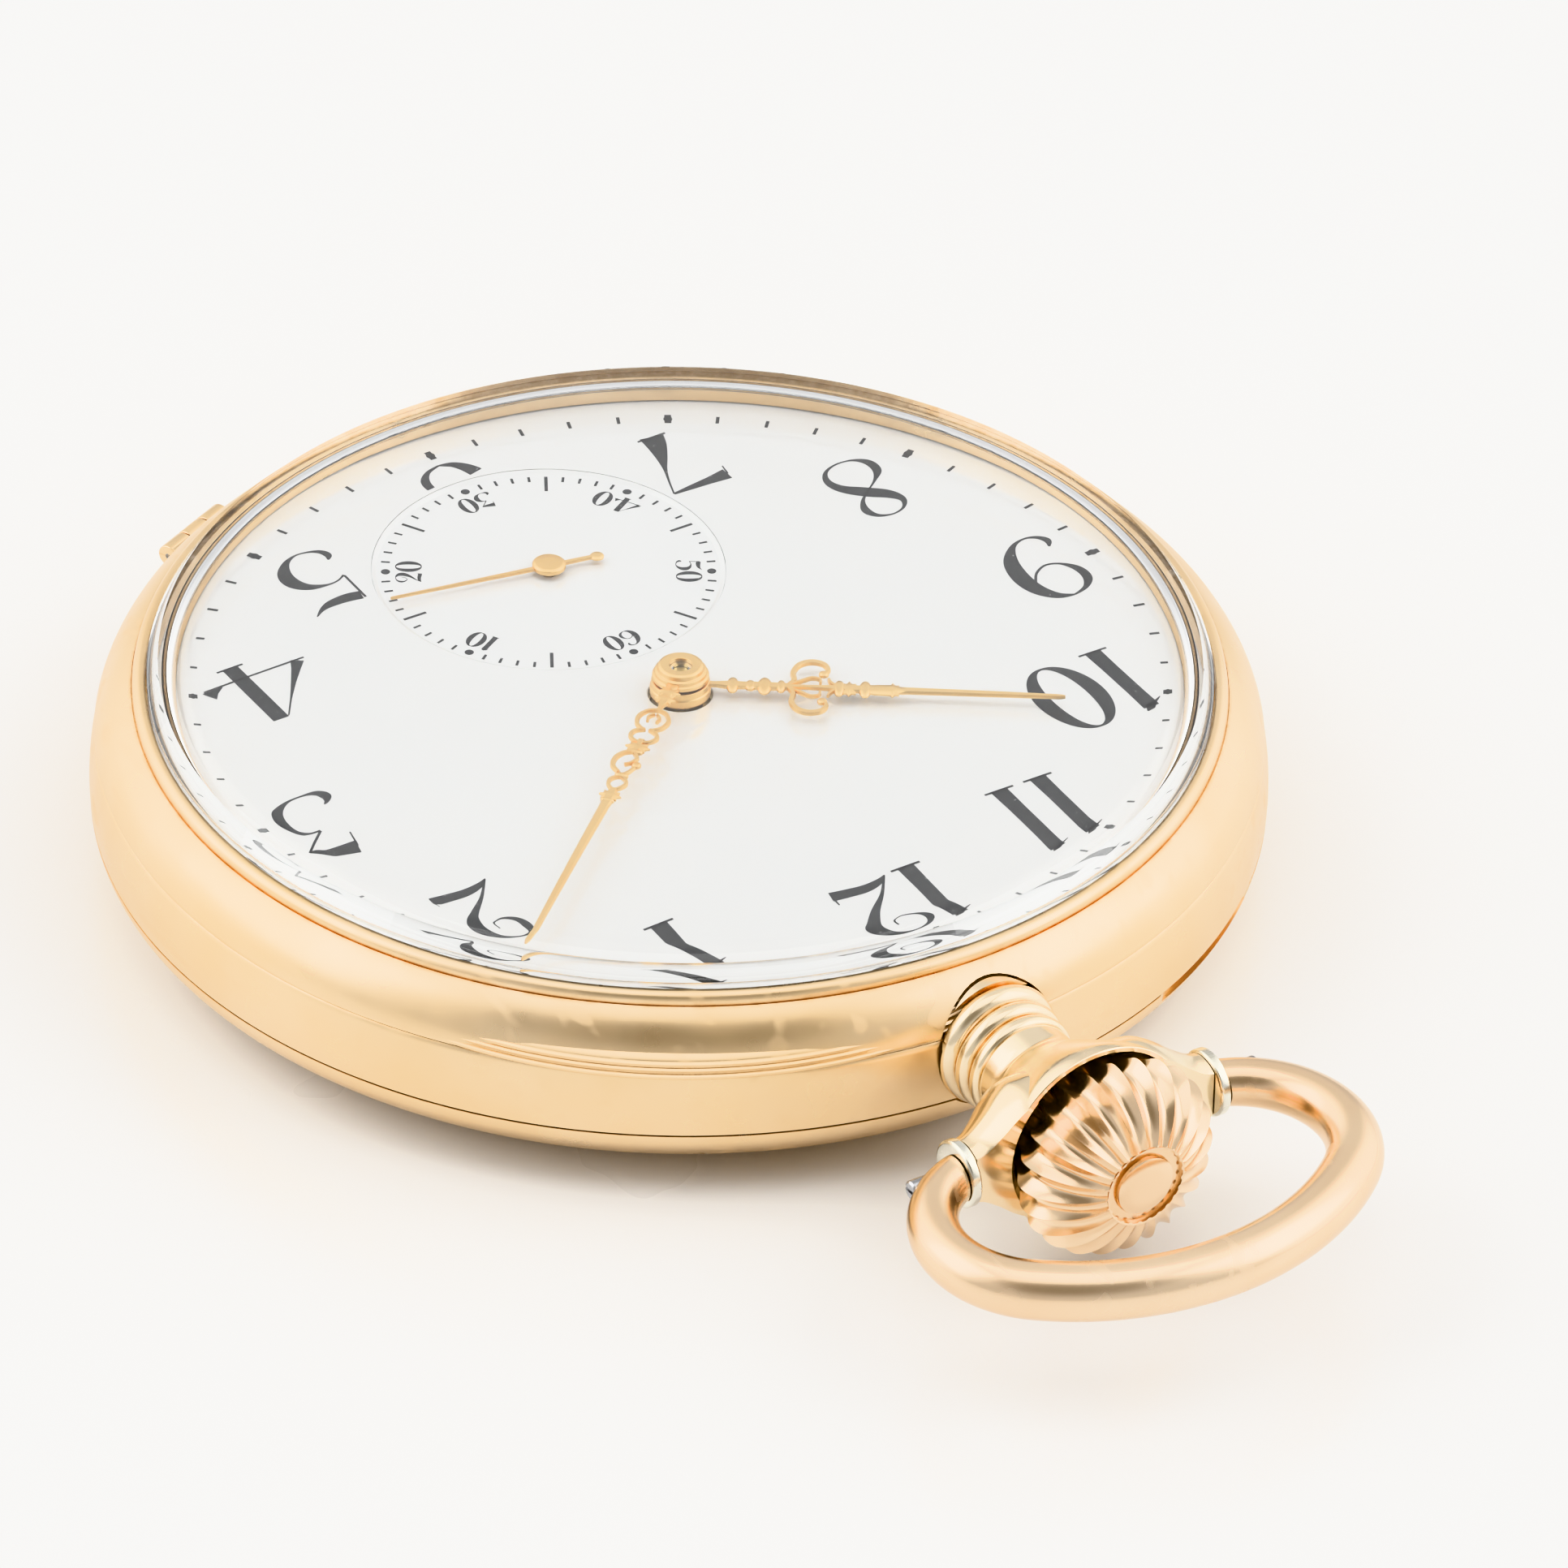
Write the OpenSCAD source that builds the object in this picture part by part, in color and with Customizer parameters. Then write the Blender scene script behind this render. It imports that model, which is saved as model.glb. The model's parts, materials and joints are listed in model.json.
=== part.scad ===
// Open face pocket watch, stem wound, with a hinged bezel and a hinged back.
// Frame: +Z points up out of the dial, +Y points to twelve o'clock and the pendant,
// and the origin is the centre of the flat that the watch rests on.

/* [Case] */
// Radius of the case at its widest
case_r = 25; // [24.95:0.01:25.05]
// Height of the seam between the back cover and the case middle
back_seam_z = 3.2; // [3.15:0.01:3.25]
// Height of the seam between the case middle and the bezel
bezel_seam_z = 6.2; // [6.15:0.01:6.25]
// Height of the crystal's crown above the resting flat
crystal_top_z = 10.2; // [10.1:0.05:10.6]
// Radius of the flat that the watch rests on
rest_flat_r = 14; // [12:0.5:15]
// Clock position of the two case hinges, in degrees clockwise from twelve
hinge_at = 155; // [150:1:165]
// Clock position of the thumb lip on the bezel
lip_at = 32.5; // [20:0.5:40]
// Clock position of the thumbnail notch in the back cover
notch_at = 328; // [320:1:334]

/* [Pendant, crown and bow] */
// Height of the winding stem's axis
stem_z = 5.25; // [5.23:0.01:5.27]
// Largest radius of the crown
crown_r = 4.4; // [4.2:0.05:4.5]
// Number of flutes round the crown
crown_flutes = 24; // [18:1:28]
// Distance the crown pulls out to set the hands
crown_pull = 0.8; // [0.6:0.1:1]
// Half width of the bow, to the middle of its wire
bow_half_w = 9.3; // [9:0.1:9.6]
// Height of the bow above its pivots, to the middle of its wire
bow_h = 10.6; // [10:0.1:11]
// Radius of the bow's wire
bow_wire_r = 1.2; // [1.1:0.05:1.25]

/* [Hands] */
// Minutes past ten that the hands show
minutes_past = 8.25; // [0:0.25:59]
// Seconds that the small hand shows
seconds_shown = 16.7; // [0:0.1:59]
// Length of the minute hand from its centre
minute_len = 20.6; // [19:0.1:20.8]
// Length of the hour hand from its centre
hour_len = 16.2; // [14:0.1:16.4]
// Length of the seconds hand from its centre
seconds_len = 7.2; // [6.5:0.1:7.3]

/* [Hidden] */
$fn = 96;

// Small overlap, and how far cutting shapes stick out
eps = 0.01;
cut = 1;

// Levels of the movement, from the back towards the dial
wheel_out_z = 1.3;
bridge_z = 1.75;
bridge_in_z = 2.65;
plate_z = 4.95;
plate_top_z = 6.65;
pocket_z = 5.65;
dial_z = 6.7;
dial_top_z = 7.3;
plate_r = 21.35;
bridge_r = 20.8;
dial_r = 22.3;
subdial_r = 7.6;

// Going train: teeth, modules and the places that follow from them
barrel_teeth = 84;
centre_leaves = 14;
barrel_module = 0.2;
centre_teeth = 80;
third_leaves = 10;
centre_module = 0.18;
third_teeth = 75;
fourth_leaves = 10;
third_module = 0.15;
fourth_teeth = 70;
escape_leaves = 7;
fourth_module = 0.14;
escape_teeth = 15;
escape_r = 2.9;
seconds_y = -10.77;
barrel_angle = 49.2;
escape_angle = 165;
pallet_angle = 128;

function polar(r, a) = [r * cos(a), r * sin(a)];
function spacing(a, b, m) = m * (a + b) / 2;
// Where two circles round a and b of radius ra and rb cross, on the right of the line from a to b
function crossing(a, ra, b, rb) =
    let (d = norm(b - a), u = (b - a) / d, s = (ra * ra - rb * rb + d * d) / (2 * d))
    a + u * s + [-u[1], u[0]] * sqrt(ra * ra - s * s);
function bearing(a, b) = atan2(b[1] - a[1], b[0] - a[0]);
function clock(h) = 90 - h;

centre_at = [0, 0];
fourth_at = [0, seconds_y];
third_at = crossing(centre_at, spacing(centre_teeth, third_leaves, centre_module),
    fourth_at, spacing(third_teeth, fourth_leaves, third_module));
barrel_at = polar(spacing(barrel_teeth, centre_leaves, barrel_module), barrel_angle);
escape_at = fourth_at + polar(spacing(fourth_teeth, escape_leaves, fourth_module), escape_angle);
pallet_at = escape_at + polar(3.35, pallet_angle);
balance_at = pallet_at + polar(4.6, pallet_angle);

// Winding and setting work
ratchet_teeth = 46;
crown_teeth = 27;
winding_module = 0.3;
face_teeth = 36;
pinion_teeth = 16;
face_r = 2.42;
pinion_r = face_r * pinion_teeth / face_teeth;
crown_wheel_at = [0, barrel_at[1] + sqrt(pow(spacing(ratchet_teeth, crown_teeth, winding_module), 2)
    - pow(barrel_at[0], 2))];
winding_y = crown_wheel_at[1] + face_r;
cannon_leaves = 12;
minute_teeth = 36;
minute_leaves = 10;
hour_teeth = 40;
motion_module = 0.2;
motion_dist = spacing(cannon_leaves, minute_teeth, motion_module);
hour_module = 2 * motion_dist / (minute_leaves + hour_teeth);
setting_teeth = 18;
minute_wheel_at = polar(motion_dist, 105);
setting_at = minute_wheel_at + polar(spacing(minute_teeth, setting_teeth, motion_module), 84);

// Colours
gold = [0.86, 0.66, 0.38];
rose_gold = [0.85, 0.62, 0.42];
gilt = [0.80, 0.66, 0.36];
nickel = [0.76, 0.75, 0.72];
steel = [0.62, 0.64, 0.67];
blued = [0.12, 0.18, 0.42];
white_metal = [0.80, 0.79, 0.72];
ruby = [0.62, 0.06, 0.14];
enamel = [0.95, 0.95, 0.93];
glass = [0.90, 0.95, 0.97, 0.35];

// ---------- shared shapes ----------

module at(p, z = 0) {
    translate([p[0], p[1], z])
        children();
}

// Stands its children on the stem's axis, their +Z pointing out through the pendant
module along_stem(y = 0) {
    translate([0, y, stem_z])
        rotate([-90, 0, 0])
            children();
}

module tube(r_out, r_in, h) {
    difference() {
        cylinder(r = r_out, h = h);
        translate([0, 0, -cut])
            cylinder(r = r_in, h = h + 2 * cut);
    }
}

// Trapezoid teeth: each tooth takes root_part of its pitch at the root and tip_part at the tip
function gear_points(teeth, root_r, tip_r, root_part, tip_part, first) =
    [for (i = [0 : teeth - 1], c = [[root_r, -root_part], [tip_r, -tip_part],
        [tip_r, tip_part], [root_r, root_part]])
        polar(c[0], first + 360 * i / teeth + 180 * c[1] / teeth)];

// A toothed ring with a tooth centred on the direction first
module teeth_ring(teeth, m, first, h, up, down, root_part = 0.62, tip_part = 0.22) {
    pitch_r = teeth * m / 2;
    linear_extrude(h)
        polygon(gear_points(teeth, pitch_r - down * m, pitch_r + up * m, root_part, tip_part, first));
}

module wheel_teeth(teeth, m, first, h) {
    teeth_ring(teeth, m, first, h, 0.8, 1.1);
}

module leaves(teeth, m, first, h) {
    teeth_ring(teeth, m, first, h, 0.65, 1.15, 0.52, 0.18);
}

// The direction of a leaf when a gap faces the direction towards
function gap_first(leaf_count, towards) = towards + 180 / leaf_count;

// Cuts between spokes: a ring of arms left standing in a wheel
module spoke_gaps(r_out, r_in, arms, arm_w, first) {
    difference() {
        translate([0, 0, -cut])
            cylinder(r = r_out, h = 3 * cut);
        translate([0, 0, -2 * cut])
            cylinder(r = r_in, h = 5 * cut);
        for (i = [0 : arms - 1])
            rotate(first + 360 * i / arms)
                translate([0, -arm_w / 2, -2 * cut])
                    cube([r_out + cut, arm_w, 5 * cut]);
    }
}

// A slotted screw with its head at the bottom, under z = 0, and its thread above
module screw(head_r, head_h, thread_r, thread_l) {
    slot_w = head_r * 0.3;
    difference() {
        translate([0, 0, -head_h])
            cylinder(r = head_r, h = head_h);
        translate([-head_r - cut, -slot_w / 2, -head_h - cut])
            cube([2 * head_r + 2 * cut, slot_w, cut + head_h * 0.45]);
    }
    cylinder(r = thread_r, h = thread_l);
}

// A flat spiral strip
function spiral_side(r0, r1, turns, steps) =
    [for (i = [0 : steps]) polar(r0 + (r1 - r0) * i / steps, 360 * turns * i / steps)];
module spiral(r0, r1, turns, strip, h, steps) {
    inner = spiral_side(r0, r1, turns, steps);
    outer = spiral_side(r0 + strip, r1 + strip, turns, steps);
    linear_extrude(h)
        polygon(concat(inner, [for (i = [0 : steps]) outer[steps - i]]));
}

// A bar of the given width from a to b
module bar(a, b, w, h) {
    translate([a[0], a[1], 0])
        rotate(bearing(a, b))
            translate([0, -w / 2, 0])
                cube([norm(b - a), w, h]);
}

// ---------- case ----------

middle_in_r = 21.5;
rim_r = 23.3;
rim_top_z = bezel_seam_z + 0.65;
rim_low_z = back_seam_z - 0.75;
bezel_seam_r = case_r - 0.28;
back_seam_r = case_r - 0.04;
bezel_in_r = 21.95;
glass_seat_z = 8.3;
glass_r = 22.5;
bead_z = 9.0;
valley = [23.15, 8.45];
hinge_r = case_r + 0.12;
knuckle_r = 0.55;
knuckle_l = 1.3;
knuckle_gap = 0.05;
hinge_pin_r = 0.2;

// Points on the arc of radius r from a to b that bulges outwards
function arc_between(a, b, r, steps) =
    let (m = (a + b) / 2, d = norm(b - a), u = (b - a) / d,
        c = m + [-u[1], u[0]] * sqrt(r * r - d * d / 4),
        t0 = atan2(a[1] - c[1], a[0] - c[0]), t1 = atan2(b[1] - c[1], b[0] - c[0]))
    [for (i = [0 : steps]) c + polar(r, t0 + (t1 - t0) * i / steps)];

// Places its children on one of the case hinges, their +X along the pin
module on_hinge(z) {
    translate([polar(hinge_r, clock(hinge_at))[0], polar(hinge_r, clock(hinge_at))[1], z])
        rotate(clock(hinge_at) + 90)
            rotate([0, 90, 0])
                children();
}

// Knuckles of a hinge at the given places along its pin, bored afterwards
module knuckles(z, places) {
    on_hinge(z)
        for (p = places)
            translate([0, 0, p * (knuckle_l + knuckle_gap) - knuckle_l / 2])
                cylinder(r = knuckle_r, h = knuckle_l);
}

// Room round the other leaf's knuckles, a little longer than the gap between them
module knuckle_room(z, places) {
    room_l = knuckle_l + 2 * knuckle_gap + 2 * eps;
    on_hinge(z)
        for (p = places)
            translate([0, 0, p * (knuckle_l + knuckle_gap) - room_l / 2])
                cylinder(r = knuckle_r + 0.08, h = room_l);
}

module pendant_hole(r) {
    along_stem(15)
        cylinder(r = r, h = 15);
}

module case_middle() {
    color(gold)
    difference() {
        union() {
            rotate_extrude()
                polygon(concat([[middle_in_r, rim_low_z], [rim_r, rim_low_z], [rim_r, back_seam_z]],
                    arc_between([back_seam_r, back_seam_z], [bezel_seam_r, bezel_seam_z], 9, 10),
                    [[rim_r, bezel_seam_z], [rim_r, rim_top_z], [dial_r + 0.1, rim_top_z],
                    [dial_r + 0.1, plate_top_z - 0.05], [middle_in_r, plate_top_z - 0.05]]));
            knuckles(bezel_seam_z, [0]);
            knuckles(back_seam_z, [0]);
        }
        knuckle_room(bezel_seam_z, [-1, 1]);
        knuckle_room(back_seam_z, [-1, 1]);
        pin_holes();
        pendant_hole(1.2);
        for (p = case_screw_at)
            at(p, rim_low_z - cut)
                cylinder(r = case_screw_head_r + 0.05, h = cut + 0.6);
    }
}

module pin_holes() {
    for (z = [bezel_seam_z, back_seam_z])
        on_hinge(z)
            translate([0, 0, -3 * knuckle_l])
                cylinder(r = hinge_pin_r + 0.02, h = 6 * knuckle_l);
}

module bezel() {
    skirt_r = rim_r + 0.08;
    color(gold)
    difference() {
        union() {
            rotate_extrude()
                polygon(concat([[skirt_r, bezel_seam_z + 0.02], [bezel_seam_r, bezel_seam_z + 0.02]],
                    arc_between([bezel_seam_r, bezel_seam_z + 0.1], valley, 3.2, 10),
                    arc_between(valley + [0, 0.02], [glass_r + 0.06, bead_z], 0.42, 8),
                    [[glass_r + 0.06, glass_seat_z - 0.02], [bezel_in_r + 0.1, glass_seat_z - 0.02],
                    [bezel_in_r, 7.5], [bezel_in_r, 7.38], [skirt_r, 7.38]]));
            lip();
            knuckles(bezel_seam_z, [-1, 1]);
        }
        knuckle_room(bezel_seam_z, [0]);
        on_hinge(bezel_seam_z)
            translate([0, 0, -3 * knuckle_l])
                cylinder(r = hinge_pin_r + 0.02, h = 6 * knuckle_l);
        // Clears the pendant's first ring and its sleeve
        along_stem(23)
            cylinder(r = 2.8, h = 7);
    }
}

// A stepped crescent that a thumbnail catches. It is rounder than the case, so that it dies into the dome
module lip() {
    lip_half = 24;
    lip_r = 19.75;
    lip_z = bezel_seam_z + 0.02;
    intersection() {
        rotate(clock(lip_at))
            translate([case_r + 0.2 - lip_r, 0, 0])
                rotate_extrude()
                    polygon([[14.5, lip_z], [lip_r - 0.05, lip_z], [lip_r, lip_z + 0.2],
                        [lip_r - 0.2, lip_z + 0.38], [lip_r - 0.35, lip_z + 0.6],
                        [lip_r - 0.8, lip_z + 0.88], [14.5, 8]]);
        rotate(clock(lip_at))
            linear_extrude(8)
                polygon([[0, 0], polar(30, -lip_half), polar(30, lip_half)]);
        difference() {
            cylinder(r = case_r + 0.5, h = 8);
            translate([0, 0, -cut])
                cylinder(r = rim_r + 0.3, h = 10);
        }
    }
}

module bezel_hinge_pin() {
    color(gold)
        on_hinge(bezel_seam_z)
            translate([0, 0, -1.5 * knuckle_l - knuckle_gap])
                cylinder(r = hinge_pin_r, h = 3 * knuckle_l + 2 * knuckle_gap);
}

module back_hinge_pin() {
    color(gold)
        on_hinge(back_seam_z)
            translate([0, 0, -1.5 * knuckle_l - knuckle_gap])
                cylinder(r = hinge_pin_r, h = 3 * knuckle_l + 2 * knuckle_gap);
}

// A domed glass with a bevelled edge, thinned underneath towards its seat
module crystal() {
    shoulder = [22, crystal_top_z - 0.38];
    under_z = crystal_top_z - 0.95;
    thin_r = 20.2;
    seat_in_r = 21.8;
    rise = crystal_top_z - shoulder[1];
    color(glass)
        rotate_extrude()
            polygon(concat([[0, under_z]],
                [for (i = [1 : 8]) [thin_r * i / 8, under_z - 0.15 * pow(i / 8, 2)]],
                [for (i = [1 : 6]) [thin_r + (seat_in_r - thin_r) * sin(15 * i),
                    under_z - 0.15 - (under_z - 0.15 - glass_seat_z) * (1 - cos(15 * i))]],
                [[glass_r, glass_seat_z], [glass_r, bead_z + 0.25]],
                [for (i = [8 : -1 : 0]) [shoulder[0] * i / 8, crystal_top_z - rise * pow(i / 8, 5)]]));
}

// The back cover's outline, from the edge of the resting flat out and up to the seam
function back_curve(edge_r, depth, steps) =
    [for (i = [steps : -1 : 0]) let (a = 90 * i / steps)
        [rest_flat_r + (edge_r - rest_flat_r) * sqrt(cos(a)), depth * (1 - pow(sin(a), 1.2))]];

module back_cover() {
    wall = 0.45;
    skirt_r = rim_r + 0.08;
    color(gold)
    difference() {
        union() {
            rotate_extrude()
                polygon(concat([[0, 0]], back_curve(back_seam_r, back_seam_z - 0.02, 14),
                    [[skirt_r, back_seam_z - 0.02], [skirt_r, 1.9], [22.4, 1.25], [21.4, 0.95],
                    [20, 0.72], [rest_flat_r, wall], [0, wall]]));
            knuckles(back_seam_z, [-1, 1]);
        }
        knuckle_room(back_seam_z, [0]);
        on_hinge(back_seam_z)
            translate([0, 0, -3 * knuckle_l])
                cylinder(r = hinge_pin_r + 0.02, h = 6 * knuckle_l);
        // A thumbnail notch, deepest in its middle
        rotate(clock(notch_at))
            translate([case_r + 32.4, 0, back_seam_z - 0.5])
                cylinder(r = 33.2, h = 2);
        along_stem(24.2)
            cylinder(r = 2.8, h = 6);
    }
}

module cuvette() {
    color(gold)
        rotate_extrude()
            polygon([[0, 0.68], [18, 0.68], [20.7, 0.88], [21.45, 1.6], [21.45, 2.65], [21.15, 2.65],
                [21.15, 1.7], [20.6, 1.18], [18, 0.96], [0, 0.96]]);
}

// The two screws whose heads lap over the case middle and hold the movement in it
case_screw_at = [polar(20.7, 70), polar(20.7, 262)];
case_screw_head_r = 1.1;
module case_screws() {
    color(steel)
        for (p = case_screw_at)
            at(p, bridge_in_z + 0.35)
                screw(case_screw_head_r, 0.3, screw_thread_r, 2.5);
}

// ---------- pendant, crown and bow ----------

pivot_y = 31.37;
ear_x = 5.75;
collar_l = 0.5;
collar_r = 1.45;
mouth_y = 32.2;
mouth_r = 4.3;
cup_wall = 0.28;
bow_end_x = ear_x + collar_l + 0.08;

module pendant() {
    color(gold)
    difference() {
        union() {
            intersection() {
                along_stem()
                    rotate_extrude()
                        polygon(concat([[0, 24.1], [2.6, 24.1]],
                            ring_bulge(24.75, 0.55, 2.2, 0.5), ring_bulge(25.75, 0.45, 2.2, 0.35),
                            ring_bulge(26.6, 0.35, 2.2, 0.22),
                            [[2.2, 27.9], [2.45, 28.5], [3.1, 29.6], [3.75, 30.8], [4.15, 31.6],
                            [mouth_r, mouth_y], [0, mouth_y]]));
                // Seats on the case middle and clears the two covers
                difference() {
                    translate([-10, 20, 0])
                        cube([20, 20, 12]);
                    cylinder(r = 24.85, h = 12);
                }
            }
            ears();
        }
        // Cup that the crown sinks into
        along_stem()
            rotate_extrude()
                polygon([[0, 29.9], [2.2, 29.9], [3.2, 30.3], [3.85, 31.2], [mouth_r - cup_wall, mouth_y + eps],
                    [mouth_r - cup_wall, 40], [0, 40]]);
        along_stem(22)
            cylinder(r = 1.2, h = 10);
        translate([-10, pivot_y, stem_z])
            rotate([0, 90, 0])
                cylinder(r = 0.47, h = 20);
    }
}

// A half-round ring on a neck of radius neck_r, centred at y
function ring_bulge(y, half, neck_r, out) =
    [for (i = [0 : 8]) let (a = -90 + 180 * i / 8) [neck_r + out * cos(a), y + half * sin(a)]];

// The two tapered ears that carry the bow
module ears() {
    intersection() {
        translate([-ear_x, pivot_y, stem_z])
            rotate([0, 90, 0])
                rotate_extrude()
                    polygon([[0, 0], [1.35, 0], [1.75, 1.2], [2.7, 2.9], [2.7, 8.6], [1.75, 10.3],
                        [1.35, 11.5], [0, 11.5]]);
        translate([-10, 27, 0])
            cube([20, mouth_y + 0.3 - 27, 12]);
    }
}

module pendant_sleeve() {
    color(steel)
        along_stem(21.6)
            tube(1.17, 0.6, 7.6);
}

module bow_collars() {
    color(white_metal)
        for (side = [-1, 1])
            translate([side > 0 ? ear_x + eps : -ear_x - collar_l - eps, pivot_y, stem_z])
                rotate([0, 90, 0])
                    tube(collar_r, 0.47, collar_l);
}

module bow_screws() {
    color(steel)
        for (side = [-1, 1])
            translate([side * 4.6, pivot_y, stem_z])
                rotate([0, side * 90, 0])
                    difference() {
                        cylinder(r = 0.44, h = 4.1);
                        translate([-1, -0.08, 3.8])
                            cube([2, 0.16, 1]);
                    }
}

// An arc of round wire in the plane of the dial, from angle a0 over sweep degrees
module wire_arc(centre, r, a0, sweep, wire_r) {
    translate([centre[0], centre[1], stem_z])
        rotate(a0)
            rotate_extrude(angle = sweep)
                translate([r, 0])
                    circle(r = wire_r, $fn = 48);
}

// The bow is two tight side arcs and one wide top arc, all tangent
bow_side_r = 4.46;
bow_side_x = bow_half_w - bow_side_r;
bow_drop = bow_h - bow_side_r;
bow_top_r = (bow_side_x * bow_side_x + bow_drop * bow_drop - bow_side_r * bow_side_r)
    / (2 * (bow_drop - bow_side_r));
bow_join = atan2(bow_top_r - bow_drop, bow_side_x);
// The wire is thicker over the top, and takes in the ends of the side arcs
bow_swell = 0.06;
bow_lap = 2;

module bow() {
    color(gold)
    difference() {
        union() {
            for (side = [0, 1])
                mirror([side, 0, 0])
                    difference() {
                        wire_arc([bow_side_x, pivot_y + bow_side_r], bow_side_r, -90, 90 + bow_join + bow_lap,
                            bow_wire_r);
                        translate([0, pivot_y - 5, 0])
                            cube([bow_end_x, 10, 12]);
                    }
            wire_arc([0, pivot_y + bow_h - bow_top_r], bow_top_r, bow_join, 180 - 2 * bow_join,
                bow_wire_r + bow_swell);
        }
        translate([-10, pivot_y, stem_z])
            rotate([0, 90, 0])
                cylinder(r = 0.49, h = 20);
    }
}

module crown() {
    groove_r = 0.9 * crown_r;
    color(rose_gold)
    along_stem()
    difference() {
        intersection() {
            rotate_extrude()
                polygon([[0, 30.6], [2, 30.6], [3.1, 30.9], [3.6, 31.7], [3.8, 32.4], [crown_r, 33.2],
                    [crown_r - 0.05, 33.9], [crown_r - 0.45, 34.7], [crown_r - 1.2, 35.4],
                    [1.9, 35.95], [1.75, 35.95], [1.7, 35.7], [0, 35.7]]);
            linear_extrude(36)
                polygon([for (i = [0 : 2 * crown_flutes - 1])
                    polar(i % 2 == 0 ? crown_r + 0.1 : groove_r, 180 * i / crown_flutes)]);
        }
        translate([0, 0, 30])
            cylinder(r = 0.55, h = 3.5);
    }
}

module crown_button() {
    color(rose_gold)
        along_stem(35.7)
            rotate_extrude()
                polygon([[0, 0], [1.32, 0], [1.36, 0.1], [1.32, 0.22], [1.2, 0.28], [0, 0.32]]);
}

module winding_stem() {
    square_w = 0.7;
    color(steel)
        along_stem() {
            translate([0, 0, 12.35])
                cylinder(r = 0.35, h = 1.5);
            translate([-square_w / 2, -square_w / 2, 13.8])
                cube([square_w, square_w, 4.5]);
            translate([0, 0, 18.25])
                cylinder(r = 0.48, h = 1.65);
            translate([0, 0, 19.9])
                cylinder(r = 0.25, h = 0.7);
            translate([0, 0, 20.6])
                cylinder(r = 0.48, h = 2.6);
            translate([0, 0, 23.2])
                cylinder(r = 0.55, h = 10.3);
        }
}

// ---------- dial and hands ----------

module dial() {
    color(enamel)
    difference() {
        at(centre_at, dial_z)
            cylinder(r = dial_r, h = dial_top_z - dial_z, $fn = 192);
        at(centre_at, dial_z - cut)
            cylinder(r = 1.35, h = 3);
        at(fourth_at, dial_z - cut)
            cylinder(r = 0.4, h = 3);
        at(fourth_at, dial_top_z - 0.15)
            cylinder(r = subdial_r, h = 1, $fn = 192);
    }
}

module dial_feet() {
    color([0.7, 0.45, 0.25])
        for (h = [75, 190, 285])
            at(polar(19.6, clock(h)), plate_z + 0.3)
                cylinder(r = 0.4, h = dial_z - plate_z - 0.3);
}

module hand_ring(x, y, r_out, r_in) {
    translate([x, y])
        difference() {
            circle(r = r_out, $fn = 24);
            circle(r = r_in, $fn = 24);
        }
}

hour_hand_z = 7.75;
minute_hand_z = 8.15;
hand_h = 0.15;

// The hand modules point along +Y
module hour_hand() {
    color(gilt)
        rotate(-300 - minutes_past / 2)
            translate([0, 0, hour_hand_z])
                difference() {
                    union() {
                        cylinder(r = 1.35, h = 0.3);
                        linear_extrude(hand_h) {
                            polygon([[-0.13, 1], [0.13, 1], [0.16, 4.2], [-0.16, 4.2]]);
                            polygon([[-0.16, 6.2], [0.16, 6.2], [0.2, 8], [0.03, hour_len],
                                [-0.03, hour_len], [-0.2, 8]]);
                            for (y = [1.95, 2.95, 8.2, 9])
                                translate([0, y])
                                    circle(r = 0.26, $fn = 24);
                            hand_ring(0, 4.6, 0.55, 0.25);
                            hand_ring(0, 6.1, 0.5, 0.2);
                            for (side = [-1, 1]) {
                                hand_ring(side * 0.95, 5.4, 0.75, 0.5);
                                translate([side * 1.45, 6.2])
                                    circle(r = 0.25, $fn = 24);
                            }
                        }
                    }
                    translate([0, 0, -cut])
                        cylinder(r = 0.98, h = 3);
                }
}

module minute_hand() {
    color(gilt)
        rotate(-6 * minutes_past)
            translate([0, 0, minute_hand_z])
                difference() {
                    union() {
                        rotate_extrude()
                            polygon([[0, 0], [1.3, 0], [1.4, 0.12], [1.25, 0.35], [0.8, 0.45], [0, 0.45]]);
                        linear_extrude(hand_h) {
                            polygon([[-0.2, 1.2], [0.2, 1.2], [0.45, 1.8], [-0.45, 1.8]]);
                            polygon([[-0.12, 1.7], [0.12, 1.7], [0.12, 3.1], [-0.12, 3.1]]);
                            hand_ring(0, 3.8, 0.75, 0.55);
                            hand_ring(0, 4.9, 0.7, 0.48);
                            polygon([[-0.55, 5.5], [0.55, 5.5], [0.55, 6.1], [-0.55, 6.1]]);
                            hand_ring(0.2, 6.6, 0.55, 0.38);
                            hand_ring(0.2, 7.5, 0.5, 0.33);
                            hand_ring(0.05, 8.5, 0.6, 0.42);
                            polygon([[-0.5, 9], [0.5, 9], [0.4, 9.8], [-0.4, 9.8]]);
                            polygon([[-0.2, 9.6], [0.2, 9.6], [0.21, 13], [0.17, 17], [0.05, minute_len],
                                [-0.05, minute_len], [-0.17, 17], [-0.21, 13]]);
                        }
                    }
                    translate([0, 0, -cut])
                        cylinder(r = 0.47, h = 3);
                }
}

module seconds_hand() {
    color(gilt)
        at(fourth_at, dial_top_z + 0.1)
            rotate(-6 * seconds_shown)
                difference() {
                    union() {
                        rotate_extrude()
                            polygon([[0, 0], [0.62, 0], [0.62, 0.12], [0.3, 0.22], [0, 0.22]]);
                        linear_extrude(0.1) {
                            polygon([[-0.1, -2.1], [-0.06, 0], [-0.06, 1], [-0.02, seconds_len],
                                [0.02, seconds_len], [0.06, 1], [0.06, 0], [0.1, -2.1]]);
                            translate([0, -2.2])
                                circle(r = 0.2, $fn = 24);
                        }
                    }
                    translate([0, 0, -cut])
                        cylinder(r = 0.14, h = 3);
                }
}

// ---------- motion work ----------

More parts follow.
